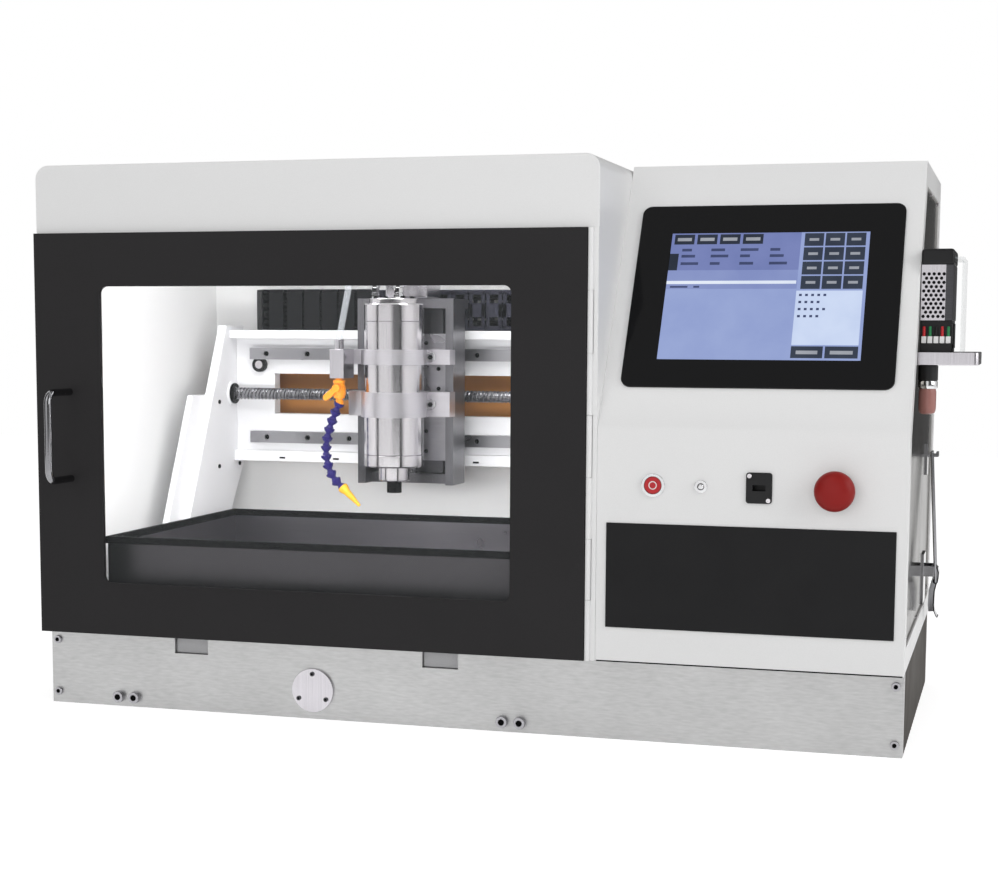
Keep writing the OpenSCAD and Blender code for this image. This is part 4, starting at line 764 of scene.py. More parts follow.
WINDING, winding_in = tree_with("winding", Core="Float", Bar="Float", Length="Float", Turns="Float")
winding_join = add(WINDING, "GeometryNodeJoinGeometry")
bar_shape = add(WINDING, "GeometryNodeCurvePrimitiveCircle", {"Resolution": 6})
wire(WINDING, (winding_in, "Bar", bar_shape, "Radius"))
for half_turn in (0.0, math.pi):
    spiral = add(WINDING, "GeometryNodeCurveSpiral", {"Resolution": 20})
    wind = add(WINDING, "GeometryNodeCurveToMesh", {"Fill Caps": True})
    start = add(WINDING, "GeometryNodeTransform", {"Rotation": (0, 0, half_turn)})
    wire(
        WINDING,
        (winding_in, "Turns", spiral, "Rotations"), (winding_in, "Core", spiral, "Start Radius"),
        (winding_in, "Core", spiral, "End Radius"), (winding_in, "Length", spiral, "Height"),
        (spiral, "Curve", wind, "Curve"), (bar_shape, "Curve", wind, "Profile Curve"),
        (wind, "Mesh", start, "Geometry"), (start, "Geometry", winding_join, "Geometry"),
    )
tree_end(WINDING, winding_in, winding_join, "Geometry")


def ball_screw(node, axis, radius_mm, turn, start_mm, end_mm):
    """A threaded rod in place of a screw node along one axis, with plain ends."""
    low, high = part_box(node)
    total = high[axis] - low[axis]
    length = total - start_mm * MM - end_mm * MM
    core_mm, thread_end = radius_mm * CORE_SHARE, start_mm + length / MM
    thread = grown(
        WINDING, bpy.data.meshes.new("empty"), Core=core_mm * MM, Bar=(radius_mm - core_mm) * MM,
        Length=length, Turns=length / SCREW_LEAD, Finish=THREAD,
    )
    placed(thread, (0, 0, start_mm * MM))
    core = turned(
        [
            (0, 0), (STUB_R, 0), (STUB_R, start_mm), (core_mm, start_mm), (core_mm, thread_end),
            (STUB_R, thread_end), (STUB_R, total / MM), (0, total / MM),
        ],
        32,
    )
    place = (low + high) / 2
    place[axis] = low[axis]
    settle(joined(node + "_thread", [(placed(mesh, place, turn), THREAD) for mesh in (thread, core)]), node)


ball_screw("x_screw", 0, 8, TO_PLUS_X, 16, 28)
ball_screw("y_screw", 1, 8, TO_PLUS_Y, 13, 14)
ball_screw("z_screw", 2, 6, Matrix.Identity(4), 13, 26)
print("ball screws: lead", round(SCREW_LEAD / MM, 1), "mm")

# %% [markdown]
# ## Drag chain
# The chain carries the cables of the carriage. It lies on its side on a shelf over the beam, turns round at
# the left, and its links are closed in front and have square windows behind. A link is modelled once, open
# at both ends. A tree walks along the path, sets a link at each point and turns it to the path's direction.
# Four cables run inside.

# %% Chain links
ALONG, along_in = tree_with("along_path", Piece="Object", Count="Int")
along_curve = add(ALONG, "GeometryNodeMeshToCurve")
along_even = add(ALONG, "GeometryNodeResampleCurve")
along_tangent = add(ALONG, "GeometryNodeInputTangent")
along_turn = add(ALONG, "FunctionNodeAlignRotationToVector", axis="X", pivot_axis="Z")
along_copies = copies_end(ALONG, along_in, along_even, "Curve")
wire(
    ALONG,
    (along_in, "Geometry", along_curve, "Mesh"), (along_curve, "Curve", along_even, "Curve"),
    (along_in, "Count", along_even, "Count"), (along_tangent, "Tangent", along_turn, "Vector"),
    (along_turn, "Rotation", along_copies, "Rotation"),
)

chain_low, chain_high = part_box("drag_chain")
CHAIN_T, CHAIN_PITCH = 22.0, 22.6
CHAIN_FRONT_LINKS, CHAIN_TURN_LINKS, CHAIN_BACK_LINKS = 6, 3, 19
CHAIN_TURN_STEPS = 16
CHEEK_T, LID_T, WINDOW_END = 4, 2, 17
CABLES, CABLE_R, CABLE_IN = 4, 4.2 * MM, 9 * MM
chain_h = (chain_high.z - chain_low.z) / MM
turn_r = (chain_high.y - chain_low.y - CHAIN_T * MM) / 2
turn_x = chain_low.x + turn_r + CHAIN_T * MM / 2
turn_y = (chain_low.y + chain_high.y) / 2


def chain_link(windows, material):
    """One link about the origin: two side cheeks, and two lids that may have windows."""
    end, side = CHAIN_PITCH * 0.47, CHAIN_T / 2
    parts = []
    for z in (0, chain_h - CHEEK_T):
        parts.append(block((-CHAIN_PITCH * 0.54, -side, z), (CHAIN_PITCH * 0.46, side, z + CHEEK_T), 0.8))
    for y in (-side, side - LID_T):
        if not windows:
            parts.append(block((-end, y, 3), (end, y + LID_T, chain_h - 3), 0.5))
            continue
        for z0, z1 in ((3, 6), (WINDOW_END, chain_h - WINDOW_END), (chain_h - 6, chain_h - 3)):
            parts.append(block((-end, y, z0), (end, y + LID_T, z1), 0.4))
        for x in (-end, CHAIN_PITCH * 0.25):
            parts.append(block((x, y, 3), (x + CHAIN_PITCH * 0.22, y + LID_T, chain_h - 3), 0.4))
    piece = joined("link", [(mesh, material) for mesh in parts])
    mesh = piece.data
    bpy.data.objects.remove(piece)
    return mesh


def links_along(places, count, windows, material):
    """A row of links along a path, as a part with its finish."""
    link = chain_link(windows, material)
    return copied(ALONG, points_mesh(places, path=True), link, material, Count=count), material


front_end, back_end = (
    turn_x + (count - 0.5) * CHAIN_PITCH * MM for count in (CHAIN_FRONT_LINKS, CHAIN_BACK_LINKS)
)
front_path = [(front_end, turn_y - turn_r, chain_low.z), (turn_x, turn_y - turn_r, chain_low.z)]
for i in range(1, CHAIN_TURN_STEPS):
    turn = math.pi * i / CHAIN_TURN_STEPS
    front_path.append((turn_x - turn_r * math.sin(turn), turn_y - turn_r * math.cos(turn), chain_low.z))
back_path = [(x, turn_y + turn_r, chain_low.z) for x in (turn_x + CHAIN_PITCH * MM / 2, back_end)]
chain_parts = [
    links_along(front_path, CHAIN_FRONT_LINKS + CHAIN_TURN_LINKS, False, CHAIN_BLACK),
    links_along(back_path, CHAIN_BACK_LINKS, True, CHAIN_GREY),
]
for i in range(CABLES):
    lift = Vector((0, 0, CABLE_IN + i * (chain_h * MM - 2 * CABLE_IN) / (CABLES - 1)))
    cable = swept([Vector(place) + lift for place in front_path[:-1] + back_path], CABLE_R, 2)
    chain_parts.append((cable, RUBBER))
settle(joined("chain_links", chain_parts), "drag_chain")
print("drag chain:", CHAIN_FRONT_LINKS + CHAIN_TURN_LINKS + CHAIN_BACK_LINKS, "links")

# %% [markdown]
# ## Jointed coolant hose
# The hose is a string of snap-together links: each has a flared mouth that grips the ball of the link
# above. It curls towards the tool by a simple rule, the same one that its solid follows, so only the rule's
# numbers are repeated here. The tree reads each point's own turn from an attribute and sets a link there.

# %% Hose links
LINK_D, LINK_COUNT = 13.0, 10
LINK_R, LINK_PITCH = LINK_D / 2, LINK_D * 0.86
HOSE_A0, HOSE_A1, HOSE_CURL = -25.0, 57.0, 2.0
NOZZLE_ANGLE, NOZZLE_L, NOZZLE_R = math.radians(45), 32.0, 2.0
SOFT_EDGE = math.radians(50)

HANG, hang_in = tree_with("hang_links", Piece="Object")
hang_turn = add(HANG, "GeometryNodeInputNamedAttribute", {"Name": "turn"}, data_type="FLOAT")
hang_axis = add(HANG, "ShaderNodeCombineXYZ")
hang_copies = copies_end(HANG, hang_in, hang_in, "Geometry")
wire(HANG, (hang_turn, "Attribute", hang_axis, "Y"), (hang_axis, "Vector", hang_copies, "Rotation"))

valve_low, valve_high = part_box("coolant_valve")
hose_x, hose_y = (valve_low.x + valve_high.x) / 2, (valve_low.y + valve_high.y) / 2
link_turns = [
    math.radians(HOSE_A0 + (HOSE_A1 - HOSE_A0) * ((i + 0.5) / LINK_COUNT) ** HOSE_CURL)
    for i in range(LINK_COUNT)
]
link_places = [Vector((hose_x, hose_y, valve_low.z + 0.4 * LINK_D * MM))]
for a in link_turns:
    link_places.append(link_places[-1] + LINK_PITCH * MM * Vector((math.sin(a), 0, -math.cos(a))))
hose_end = link_places[-1]

BELOW_MOUTH = [
    (0, 0.98), (0.62, 0.98), (0.72, 0.9), (0.62, 0.76), (0.46, 0.66), (0.48, 0.56), (0.82, 0.34),
    (1.02, 0.14), (1.02, 0),
]
IN_MOUTH = [(0.9, 0.06), (0.84, -0.1), (0.6, -0.6), (0, -0.66)]
below_mouth = [(LINK_R * r, -LINK_PITCH * z) for r, z in BELOW_MOUTH]
in_mouth = [(LINK_R * r, LINK_R * z) for r, z in IN_MOUTH]
link_mesh = turned(below_mouth + in_mouth, 28)
hose_points = points_mesh(link_places[:-1])
turn_values = hose_points.attributes.new("turn", "FLOAT", "POINT")
turn_values.data.foreach_set("value", [-a for a in link_turns])
ball = turned([(0, -5.2), (3, -4.25), (4.5, -2.6), (5.2, 0), (4.5, 2.6), (3.6, 3.8), (0, 3.8)], 28)
hose_parts = [(copied(HANG, hose_points, link_mesh, PURPLE), PURPLE), (placed(ball, hose_end), PURPLE)]
settle(joined("hose_links", hose_parts, SOFT_EDGE), "coolant_hose")

nozzle = turned(
    [
        (NOZZLE_R - 0.7, -NOZZLE_L), (NOZZLE_R, -NOZZLE_L), (NOZZLE_R + 0.4, -NOZZLE_L + 6),
        (LINK_R * 0.62, -LINK_R * 2.1), (LINK_R * 0.66, -LINK_R * 1.4), (LINK_R * 0.98, -LINK_R * 0.6),
        (LINK_R, -0.4), (LINK_R * 0.93, 0), (5.5, 0), (4.7, -2.9), (3.0, -4.6), (NOZZLE_R - 0.7, -6),
    ],
    28,
)
placed(nozzle, hose_end, Matrix.Rotation(-NOZZLE_ANGLE, 4, "Y"))
settle(joined("nozzle_cone", [(nozzle, YELLOW)]), "coolant_nozzle")
print("coolant hose:", LINK_COUNT, "links, ends at", [round(c, 3) for c in hose_end])

# %% [markdown]
# ## Coolant valve and its wing
# The valve is a moulded barrel with ribs for the fingers, and a wing on its front that turns it on and off.
# The barrel is turned; the wing is a hub with a tapered blade.

# %% Valve and wing
VALVE_H, NECK_H, VALVE_R = 24.0, 6.0, 7.5
RIBS, RIB_RING = 18, 7.2
LEVER_TILT, LEVER_GAP = math.radians(40), 0.3
valve_top, neck_end = valve_high.z, -VALVE_H - NECK_H
barrel = turned(
    [
        (0, neck_end - 5.2), (3, neck_end - 4.25), (4.5, neck_end - 2.6), (5.2, neck_end),
        (5.0, neck_end + 1.5), (4.0, neck_end + 3.3), (4.1, -VALVE_H - 0.6), (6.4, -VALVE_H),
        (VALVE_R, -VALVE_H + 3), (VALVE_R, -8.5),
        (6.6, -8), (6.6, -6), (VALVE_R, -5.5), (VALVE_R, -2.4), (5.2, -2), (5, 0), (0, 0),
    ],
    32,
)
rib_z = valve_top - (VALVE_H - 4) * MM
ribs = [
    (hose_x + RIB_RING * MM * math.cos(t), hose_y + RIB_RING * MM * math.sin(t), rib_z)
    for t in (2 * math.pi * i / RIBS for i in range(RIBS))
]
valve_parts = [
    (placed(barrel, (hose_x, hose_y, valve_top)), ORANGE),
    set_out(block((-0.6, -0.6, 0), (0.6, 0.6, 9), 0.3), ribs, ORANGE),
]
settle(joined("valve_barrel", valve_parts), "coolant_valve")

hub_place = Vector((hose_x, hose_y - (VALVE_R + LEVER_GAP) * MM, valve_top - VALVE_H / 2 * MM))
hub = turned([(0, -4), (2.5, -4), (2.5, 0), (5, 0), (5, 4.2), (4.4, 5), (1.6, 5), (1.6, 4.4), (0, 4.4)], 28)
blade = bmesh.new()
outline = [(-3, 3.2), (-12, 4.2), (-19, 3.6), (-21, 1.6), (-21, -1.6), (-19, -3.6), (-12, -4.2), (-3, -3.2)]
face = blade.faces.new([blade.verts.new((x * MM, z * MM, 0)) for x, z in outline])
lifted = bmesh.ops.extrude_face_region(blade, geom=[face])["geom"]
bmesh.ops.translate(blade, vec=(0, 0, 4 * MM), verts=[v for v in lifted if isinstance(v, bmesh.types.BMVert)])
bmesh.ops.recalc_face_normals(blade, faces=blade.faces)
bmesh.ops.bevel(blade, geom=blade.edges[:], offset=0.7 * MM, segments=2, affect="EDGES", profile=0.5)
lever_turn = Matrix.Rotation(-LEVER_TILT, 4, "Y") @ TO_MINUS_Y
wing_parts = [(placed(mesh, hub_place, lever_turn), ORANGE) for mesh in (hub, mesh_of(blade))]
settle(joined("valve_wing", wing_parts), "valve_lever")
print("valve: barrel with", len(ribs), "ribs and a wing")

# %% [markdown]
# ## Clear feed hose
# A clear hose joins the coolant block to a fitting on top of the spindle. It is short and stiff: a straight
# length that leans towards the spindle, as in the photograph, and a bow that comes straight down onto the
# fitting. Its solid stands upright.

# %% Feed hose
FEED_D = 8 * MM
FEED_LEAN = math.radians(11)
FEED_STEPS, BOW_STEPS = 6, 24
FITTING_X = 5.5 * MM
spindle_low, spindle_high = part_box("spindle_body")
spindle_x, spindle_y = (spindle_low.x + spindle_high.x) / 2, (spindle_low.y + spindle_high.y) / 2
feed_start = Vector((hose_x, hose_y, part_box("coolant_block")[1].z + FEED_D / 2 * math.sin(FEED_LEAN)))
feed_end = Vector((spindle_x + FITTING_X, spindle_y, spindle_high.z))
across = Vector((feed_end.x - feed_start.x, feed_end.y - feed_start.y, 0))
feed_rise = feed_end.z - feed_start.z
feed_r = (across.length - feed_rise * math.tan(FEED_LEAN)) / (1 + 1 / math.cos(FEED_LEAN))
feed_straight = (feed_rise + feed_r * math.sin(FEED_LEAN)) / math.cos(FEED_LEAN)
side, up = across.normalized(), Vector((0, 0, 1))
lean_up = side * math.sin(FEED_LEAN) + up * math.cos(FEED_LEAN)
lean_side = side * math.cos(FEED_LEAN) - up * math.sin(FEED_LEAN)
feed_path = [feed_start + lean_up * feed_straight * i / FEED_STEPS for i in range(FEED_STEPS)]
for i in range(BOW_STEPS + 1):
    turn = (math.pi - FEED_LEAN) * i / BOW_STEPS
    feed_path.append(
        feed_start
        + lean_up * (feed_straight + feed_r * math.sin(turn))
        + lean_side * feed_r * (1 - math.cos(turn))
    )
feed_hose = joined("feed_tube", [(swept(feed_path, FEED_D / 2, 5), HOSE_CLEAR)], math.radians(60))
settle(feed_hose, "feed_hose")

# %% [markdown]
# ## Spindle
# The spindle is a bright turned tube with a cap, a nose and two push-in fittings for its own water. It is
# turned from one profile with the fine grooves that part its sections. The collet nut under it is black,
# with slots for its spanner.

# %% Spindle and collet nut
NOSE_L, CAP_H, FITTING_H = 18, 6, 22
TUBE_R, BORE_R, LID_RING, FITTING_LEFT = 36, 8.05, 24 * MM, 24 * MM
low_z, high_z = spindle_low.z / MM, spindle_high.z / MM
tube_z0, tube_z1 = low_z + NOSE_L, high_z - FITTING_H - CAP_H
tube = turned(
    [
        (BORE_R, low_z + 40), (BORE_R, low_z), (16, low_z), (18.4, low_z + 0.8), (19, low_z + 2),
        (19, tube_z0 - 0.5),
        (34, tube_z0 - 0.2), (35.6, tube_z0 + 0.6), (TUBE_R, tube_z0 + 2), (TUBE_R, tube_z0 + 14),
        (35.4, tube_z0 + 14.6), (TUBE_R, tube_z0 + 15.2), (TUBE_R, tube_z1 - 22), (35.4, tube_z1 - 21.4),
        (TUBE_R, tube_z1 - 20.8), (TUBE_R, tube_z1 - 1.5), (35, tube_z1), (30, tube_z1 + 0.2),
        (29.6, tube_z1 + CAP_H - 0.8), (29, tube_z1 + CAP_H), (0, tube_z1 + CAP_H),
    ],
    72,
)
spindle_parts = [(placed(tube, (spindle_x, spindle_y, 0)), BRIGHT)]
for x in (spindle_x - FITTING_LEFT, feed_end.x):
    fitting = turned(
        [
            (0, tube_z1), (5.5, tube_z1), (5.5, tube_z1 + 11), (4.6, tube_z1 + 11.6), (4.6, tube_z1 + 13),
            (5.2, tube_z1 + 13.4), (5.2, high_z - 2), (4.2, high_z), (0, high_z),
        ],
        6,
    )
    ring = turned([(5.6, high_z - 9), (6, high_z - 8.5), (6, high_z - 4), (5.4, high_z - 3.4)], 28)
    spindle_parts += [(placed(mesh, (x, spindle_y, 0)), CHROME) for mesh in (fitting, ring)]
lid_screws = [
    (spindle_x + LID_RING * math.cos(t), spindle_y + LID_RING * math.sin(t), (tube_z1 + CAP_H) * MM)
    for t in (math.pi / 4 + math.pi / 2 * i for i in range(4))
]
spindle_parts.append(heads_on(lid_screws, 6, 3, Matrix.Identity(4), BLACK_STEEL))
settle(joined("spindle_tube", spindle_parts), "spindle_body")
rounded("collet_nut", 0.4, BLACK_STEEL)
print("spindle: turned tube", round(tube_z1 - tube_z0, 1), "mm long")

# %% [markdown]
# ## Motors
# A stepper motor is a black laminated body between two bright end caps, with four long screws. One function
# makes all three, along the direction in which the shaft leaves.

# %% Motors
END_CAP, BODY_INSET, SCREW_IN = 9, 0.6, 5


def motor(node, axis, mount=END_CAP):
    """A stepper in place of a motor node, whose shaft leaves downward along the axis through its mount."""
    low, high = mm_box(node)
    parts = []
    length = high[axis] - low[axis]
    cuts = [0, mount, length - END_CAP, length]
    layers = ((PLATE, 3.0, 0), (BLACK_PAINT, 1.5, BODY_INSET), (PLATE, 3.0, 0))
    for i, (material, radius, inset) in enumerate(layers):
        a, b = low.copy(), high.copy()
        a[axis], b[axis] = low[axis] + cuts[i], low[axis] + cuts[i + 1]
        margin = Vector((inset, inset, inset))
        margin[axis] = 0
        parts.append((block(a + margin, b - margin, radius), material))
    first, second = (i for i in range(3) if i != axis)
    corner = (high - low) * 0.5 - Vector((SCREW_IN, SCREW_IN, SCREW_IN))
    heads = []
    for s in (-1, 1):
        for t in (-1, 1):
            spot = (low + high) / 2
            spot[first] += s * corner[first]
            spot[second] += t * corner[second]
            spot[axis] = high[axis]
            heads.append(spot * MM)
    way = Vector([1 if i == axis else 0 for i in range(3)])
    turn = Vector((0, 0, 1)).rotation_difference(way).to_matrix().to_4x4()
    parts.append(heads_on(heads, 5, 1.2, turn, DARK_STEEL))
    settle(joined(node + "_stepper", parts), node)


motor("x_motor", 0)
motor("y_motor", 1)
motor("z_motor", 2, 28)
print("motors: three steppers")

# %% [markdown]
# ## Fasteners and small fittings inside
# Rails, plates and beam are held by many small screws that sit in counterbores, which look black from
# outside. A dot would show the same from far away, but a screw head with a recess for its key holds up
# close too. The bearing of the X screw has a black flange, and a round switch at the left end stops the
# carriage.

# %% Screws inside
RAIL_W, RAIL_PITCH, RAIL_LEAD, RAIL_DEEP = 15 * MM, 57.3 * MM, 23.4 * MM, 4.6 * MM
LEDGE_FRONT, LEDGE_UP, LEDGE_SLOTS = 162.5 * MM, 5 * MM, (-350, -275, -85.5, 40)
SIDE_SCREWS, SIDE_LEFT, SIDE_RIGHT = [(116.7, 331.5), (114.5, 248.5), (178, 248.5)], -418, 106
SCREW_AXIS, FLANGE_IN = (155.35 * MM, 341.5 * MM), 23 * MM
SWITCH_PLACE = (-383.5 * MM, 172.5 * MM, 379 * MM)
PLATE_FRONT, CARRIAGE_FRONT, CLAMP_FRONT = 84.5, 128.5, 56.5
rail_low, rail_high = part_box("x_rails")
rail_count = int((rail_high.x - rail_low.x - 2 * RAIL_LEAD) / RAIL_PITCH) + 1
rail_spots = [
    (rail_low.x + RAIL_LEAD + i * RAIL_PITCH, rail_low.y + RAIL_DEEP, z)
    for z in (rail_low.z + RAIL_W / 2, rail_high.z - RAIL_W / 2)
    for i in range(rail_count)
]
ledge_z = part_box("x_beam")[0].z + LEDGE_UP
slot_shade_spots = [(x * MM, LEDGE_FRONT, ledge_z) for x in LEDGE_SLOTS]
sides_low, sides_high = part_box("gantry_sides")
switch = turned([(0, 0), (9.5, 0), (9.5, 7), (8.8, 8), (6.6, 8), (6.6, 6.5), (0, 6.5)], 36)
switch_face = turned([(0, 6.6), (5.6, 6.6), (5.2, 7.4), (0, 7.6)], 32)
gantry_details = [
    heads_on(rail_spots, 6.4, 2.2, TO_MINUS_Y, RUBBER),
    # Each slot on the beam's ledge is a thin black bar on its face: painted shade where the slot would be
    # dark.
    set_out(block((-4, -0.3, -1.2), (4, 0.5, 1.2), 0.2), slot_shade_spots, BLACK_STEEL),
]
for x, turn in ((SIDE_LEFT, TO_PLUS_X), (SIDE_RIGHT, TO_MINUS_X)):
    side_spots = [(x * MM, y * MM, z * MM) for y, z in SIDE_SCREWS]
    gantry_details.append(heads_on(side_spots, 5.5, 1.5, turn, BLACK_STEEL))
for x, turn in ((sides_low.x + FLANGE_IN, TO_PLUS_X), (sides_high.x - FLANGE_IN, TO_MINUS_X)):
    flange = turned([(8.6, 0), (13, 0), (13.4, 0.6), (13.4, 3), (12.8, 3.6), (8.6, 3.6)], 36)
    gantry_details.append((placed(flange, (x, *SCREW_AXIS), turn), BLACK_STEEL))
gantry_details += [
    (placed(switch, SWITCH_PLACE, TO_MINUS_Y), BLACK_PLASTIC),
    (placed(switch_face, SWITCH_PLACE, TO_MINUS_Y), BRIGHT),
]
settle(joined("gantry_screws", gantry_details), "x_rails", stands=False)


def both_sides(front, places):
    """Places in metres on a front face, to the left and right of the spindle."""
    return [(spindle_x + s * x * MM, front * MM, z * MM) for x, z in places for s in (-1, 1)]


plate_heads = both_sides(PLATE_FRONT, [(26, 408.8), (26, 301), (26, 276.5), (42, 377.5), (42, 353.3)])
clamp_heads = both_sides(CLAMP_FRONT, [(41.5, 335), (41.5, 392)])
carriage_heads = both_sides(CARRIAGE_FRONT, [(46, 246), (46, 436)])
for name, parts, node in (
    ("plate_screws", [heads_on(plate_heads, 5, 0.8, TO_MINUS_Y, RUBBER)], "spindle_plate"),
    ("clamp_bolts", cap_screws(clamp_heads, 13, 4, TO_MINUS_Y, CHROME), "spindle_clamps"),
    ("carriage_screws", [heads_on(carriage_heads, 6, 1, TO_MINUS_Y, BLACK_STEEL)], "x_plate"),
):
    settle(joined(name, parts), node, stands=False)
print("screws inside:", len(rail_spots) + len(plate_heads) + len(clamp_heads) + len(carriage_heads))

# %% [markdown]
# ## Controls
# The stop button is a turned mushroom with a soft dome. The red push button is a cap with a shallow dish in
# a chrome ring, and the small one beside it is plain metal. The data socket has two screws across its
# corners, as such flanges have.

# %% Buttons and socket
STEM_R, STEM_DEEP = 6.1, 7.9
SOCKET_SCREW = (9.6 * MM, 12.2 * MM)


def facing_front(node, *shapes):
    """Turned shapes with their finishes, standing on the back of a node and facing the front."""
    low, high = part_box(node)
    place = ((low.x + high.x) / 2, high.y, (low.z + high.z) / 2)
    return [
        (placed(turned(profile, sides), place, TO_MINUS_Y), material) for profile, sides, material in shapes
    ]


dome = [
    (STEM_R, 0), (17.6, 0), (19.2, 0.6), (20, 2.2), (20, 4.6), (19.4, 7.4), (17.6, 10.2), (14.4, 12.6),
    (10, 14.2), (5, 14.9), (0, 15),
]
stem_hole = [(STEM_R, 0), (STEM_R, STEM_DEEP), (0, STEM_DEEP)]
settle(joined("stop_mushroom", facing_front("stop_head", (dome, 64, RED), (stem_hole, 64, RED))), "stop_head")

cap_low, cap_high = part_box("power_cap")
cap_l = (cap_high.y - cap_low.y) / MM
cap = [(0, 0), (8.5, 0), (8.5, cap_l - 0.6), (7.9, cap_l), (6.6, cap_l), (5.8, cap_l - 0.5), (0, cap_l - 0.9)]
cap_ring = [(3.2, cap_l - 0.78), (3.4, cap_l - 0.45), (4.2, cap_l - 0.42), (4.4, cap_l - 0.7)]
power_parts = facing_front("power_cap", (cap, 48, WIRE_RED), (cap_ring, 40, WHITE_PLASTIC))
settle(joined("power_button", power_parts), "power_cap")

socket_low, socket_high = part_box("data_socket")
socket_middle = (socket_low + socket_high) / 2
socket_screws = [
    (socket_middle.x - s * SOCKET_SCREW[0], socket_low.y, socket_middle.z + s * SOCKET_SCREW[1])
    for s in (1, -1)
]
socket_parts = [heads_on(socket_screws, 4.6, 0.9, TO_MINUS_Y, BRIGHT)]
settle(joined("socket_screws", socket_parts), "data_socket", stands=False)
print("controls: mushroom, push button and socket screws")

# %% [markdown]
# ## Screen page
# The screen shows a page of a machine controller: tabs, rows of values, a block of jog keys, a log and two
# buttons. Letters are left out, so a row of text becomes a row of short bars. Everything is laid out in
# shares of the display, from its upper left corner, on a frame that leans with the front, and each field is
# a thin slab on the glass. Lit fields glow a little by themselves.

# %% Screen finishes and frame
def lit(name, low_tone, high_tone, glow_level=1.0):
    """A field of a lit screen: its own light, moving between two tones in faint clouds."""
    values = {
        "Base Color": linear("#101114"), "Roughness": 0.35, "Specular IOR Level": 0.1,
        "Emission Strength": glow_level,
    }
    material, tree, shader = new_material(name, values)
    cloud = group_node(tree, MARKS, Size=30.0, Low=0.0, High=1.0)
    tone = tone_mix(tree, low_tone, high_tone)
    wire(tree, (cloud, "Level", tone, "Factor"), (tone, "Result", shader, "Emission Color"))
    return material


PAGE_TOP = lit("page_upper", "#6f7bb0", "#7883b8")
PAGE_MIDDLE = lit("page_middle", "#808dc0", "#8996c6")
PAGE_LOW = lit("page_lower", "#8f9ece", "#97a6d3")
PAGE_LOG = lit("page_log", "#c3d1ee", "#cedbf4")
PAGE_WHITE = lit("page_white", "#d9e2f2", "#e6edf8")
PAGE_DARK = lit("page_dark", "#232a38", "#2c3444", 0.9)
PAGE_KEY = lit("page_key", "#2f3747", "#3a4353", 0.9)
PAGE_INK = lit("page_ink", "#3a4468", "#465078", 0.9)
PAGE_MARK = lit("page_mark", "#9a9ea8", "#adb1ba", 0.9)

DISPLAY_W, DISPLAY_H = 206.0, 153.0
KNEE_Y, KNEE_Z, SLOPE_DEEP, SLOPE_TALL = -0.2325, 0.327, 164, 275
DISPLAY_UP, DISPLAY_OUT = 154.5 * MM, 3.0 * MM
FIELD_STEP, FIELD_T = 0.04, 0.3
lean = math.atan2(SLOPE_DEEP, SLOPE_TALL)
slope_up = Vector((0, math.sin(lean), math.cos(lean)))
slope_out = Vector((0, -math.cos(lean), math.sin(lean)))
display_low, display_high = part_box("screen_display")
knee = Vector(((display_low.x + display_high.x) / 2, KNEE_Y, KNEE_Z))
LEAN_FRAME = Matrix.Translation(knee + slope_up * DISPLAY_UP + slope_out * DISPLAY_OUT) @ Matrix(
    ((1, 0, 0, 0), (0, slope_up.y, slope_out.y, 0), (0, slope_up.z, slope_out.z, 0), (0, 0, 0, 1))
)
print("screen leans", round(math.degrees(lean), 1), "degrees")

# %% Screen page
def field(left, right, top, bottom, level, material):
    """A slab on the display between shares of its width from the left and of its height from the top."""
    x0, x1 = (left - 0.5) * DISPLAY_W, (right - 0.5) * DISPLAY_W
    y0, y1 = (0.5 - bottom) * DISPLAY_H, (0.5 - top) * DISPLAY_H
    mesh = block((x0, y0, level * FIELD_STEP - FIELD_T), (x1, y1, level * FIELD_STEP), 0)
    return placed(mesh, turn=LEAN_FRAME), material


FIELDS = [
    (0, 0.66, 0, 0.30, 1, PAGE_TOP),
    (0, 0.66, 0.30, 0.45, 1, PAGE_MIDDLE),
    (0, 0.66, 0.45, 1, 1, PAGE_LOW),
    (0.66, 1, 0, 1, 1, PAGE_LOW),
    (0, 0.045, 0.165, 0.30, 2, PAGE_DARK),
    (0, 0.655, 0.385, 0.41, 2, PAGE_WHITE),
    (0.66, 0.985, 0.465, 0.885, 2, PAGE_LOG),
    (0.66, 0.815, 0.895, 0.985, 2, PAGE_KEY),
    (0.825, 0.985, 0.895, 0.985, 2, PAGE_KEY),
]
for i in range(4):
    shift = i * 0.117
    FIELDS.append((0.015 + shift, 0.118 + shift, 0.01, 0.09, 2, PAGE_DARK))
    FIELDS.append((0.03 + shift, 0.103 + shift, 0.037, 0.063, 3, PAGE_MARK))
for row, top in enumerate((0.125, 0.175, 0.235)):
    for i in range(4):
        left = 0.06 + i * 0.15
        FIELDS.append((left, left + 0.05 + 0.02 * ((i + row) % 3), top, top + 0.022, 2, PAGE_INK))
for row in range(4):
    top = 0.49 + row * 0.055
    for i in range(5 - row % 2):
        left = 0.675 + i * 0.03
        FIELDS.append((left, left + 0.014, top, top + 0.018, 3, PAGE_INK))
FIELDS += [(left, right, 0.928, 0.955, 3, PAGE_MARK) for left, right in ((0.685, 0.79), (0.85, 0.96))]
FIELDS += [(left, right, 0.425, 0.44, 2, PAGE_INK) for left, right in ((0.02, 0.11), (0.14, 0.17))]
page = [field(*shares) for shares in FIELDS]
print("screen page:", len(page), "fields so far")

# %% [markdown]
# The twelve jog keys stand in a grid, so a tree sets them out: it makes a grid of points from its two
# counts and two sizes and puts one key on each.

# %% Jog keys
KEY_COLUMNS, KEY_ROWS = 3, 4
KEYS_WIDE, KEYS_TALL, KEYS_MIDDLE = 0.3125, 0.455, (0.83, 0.23)

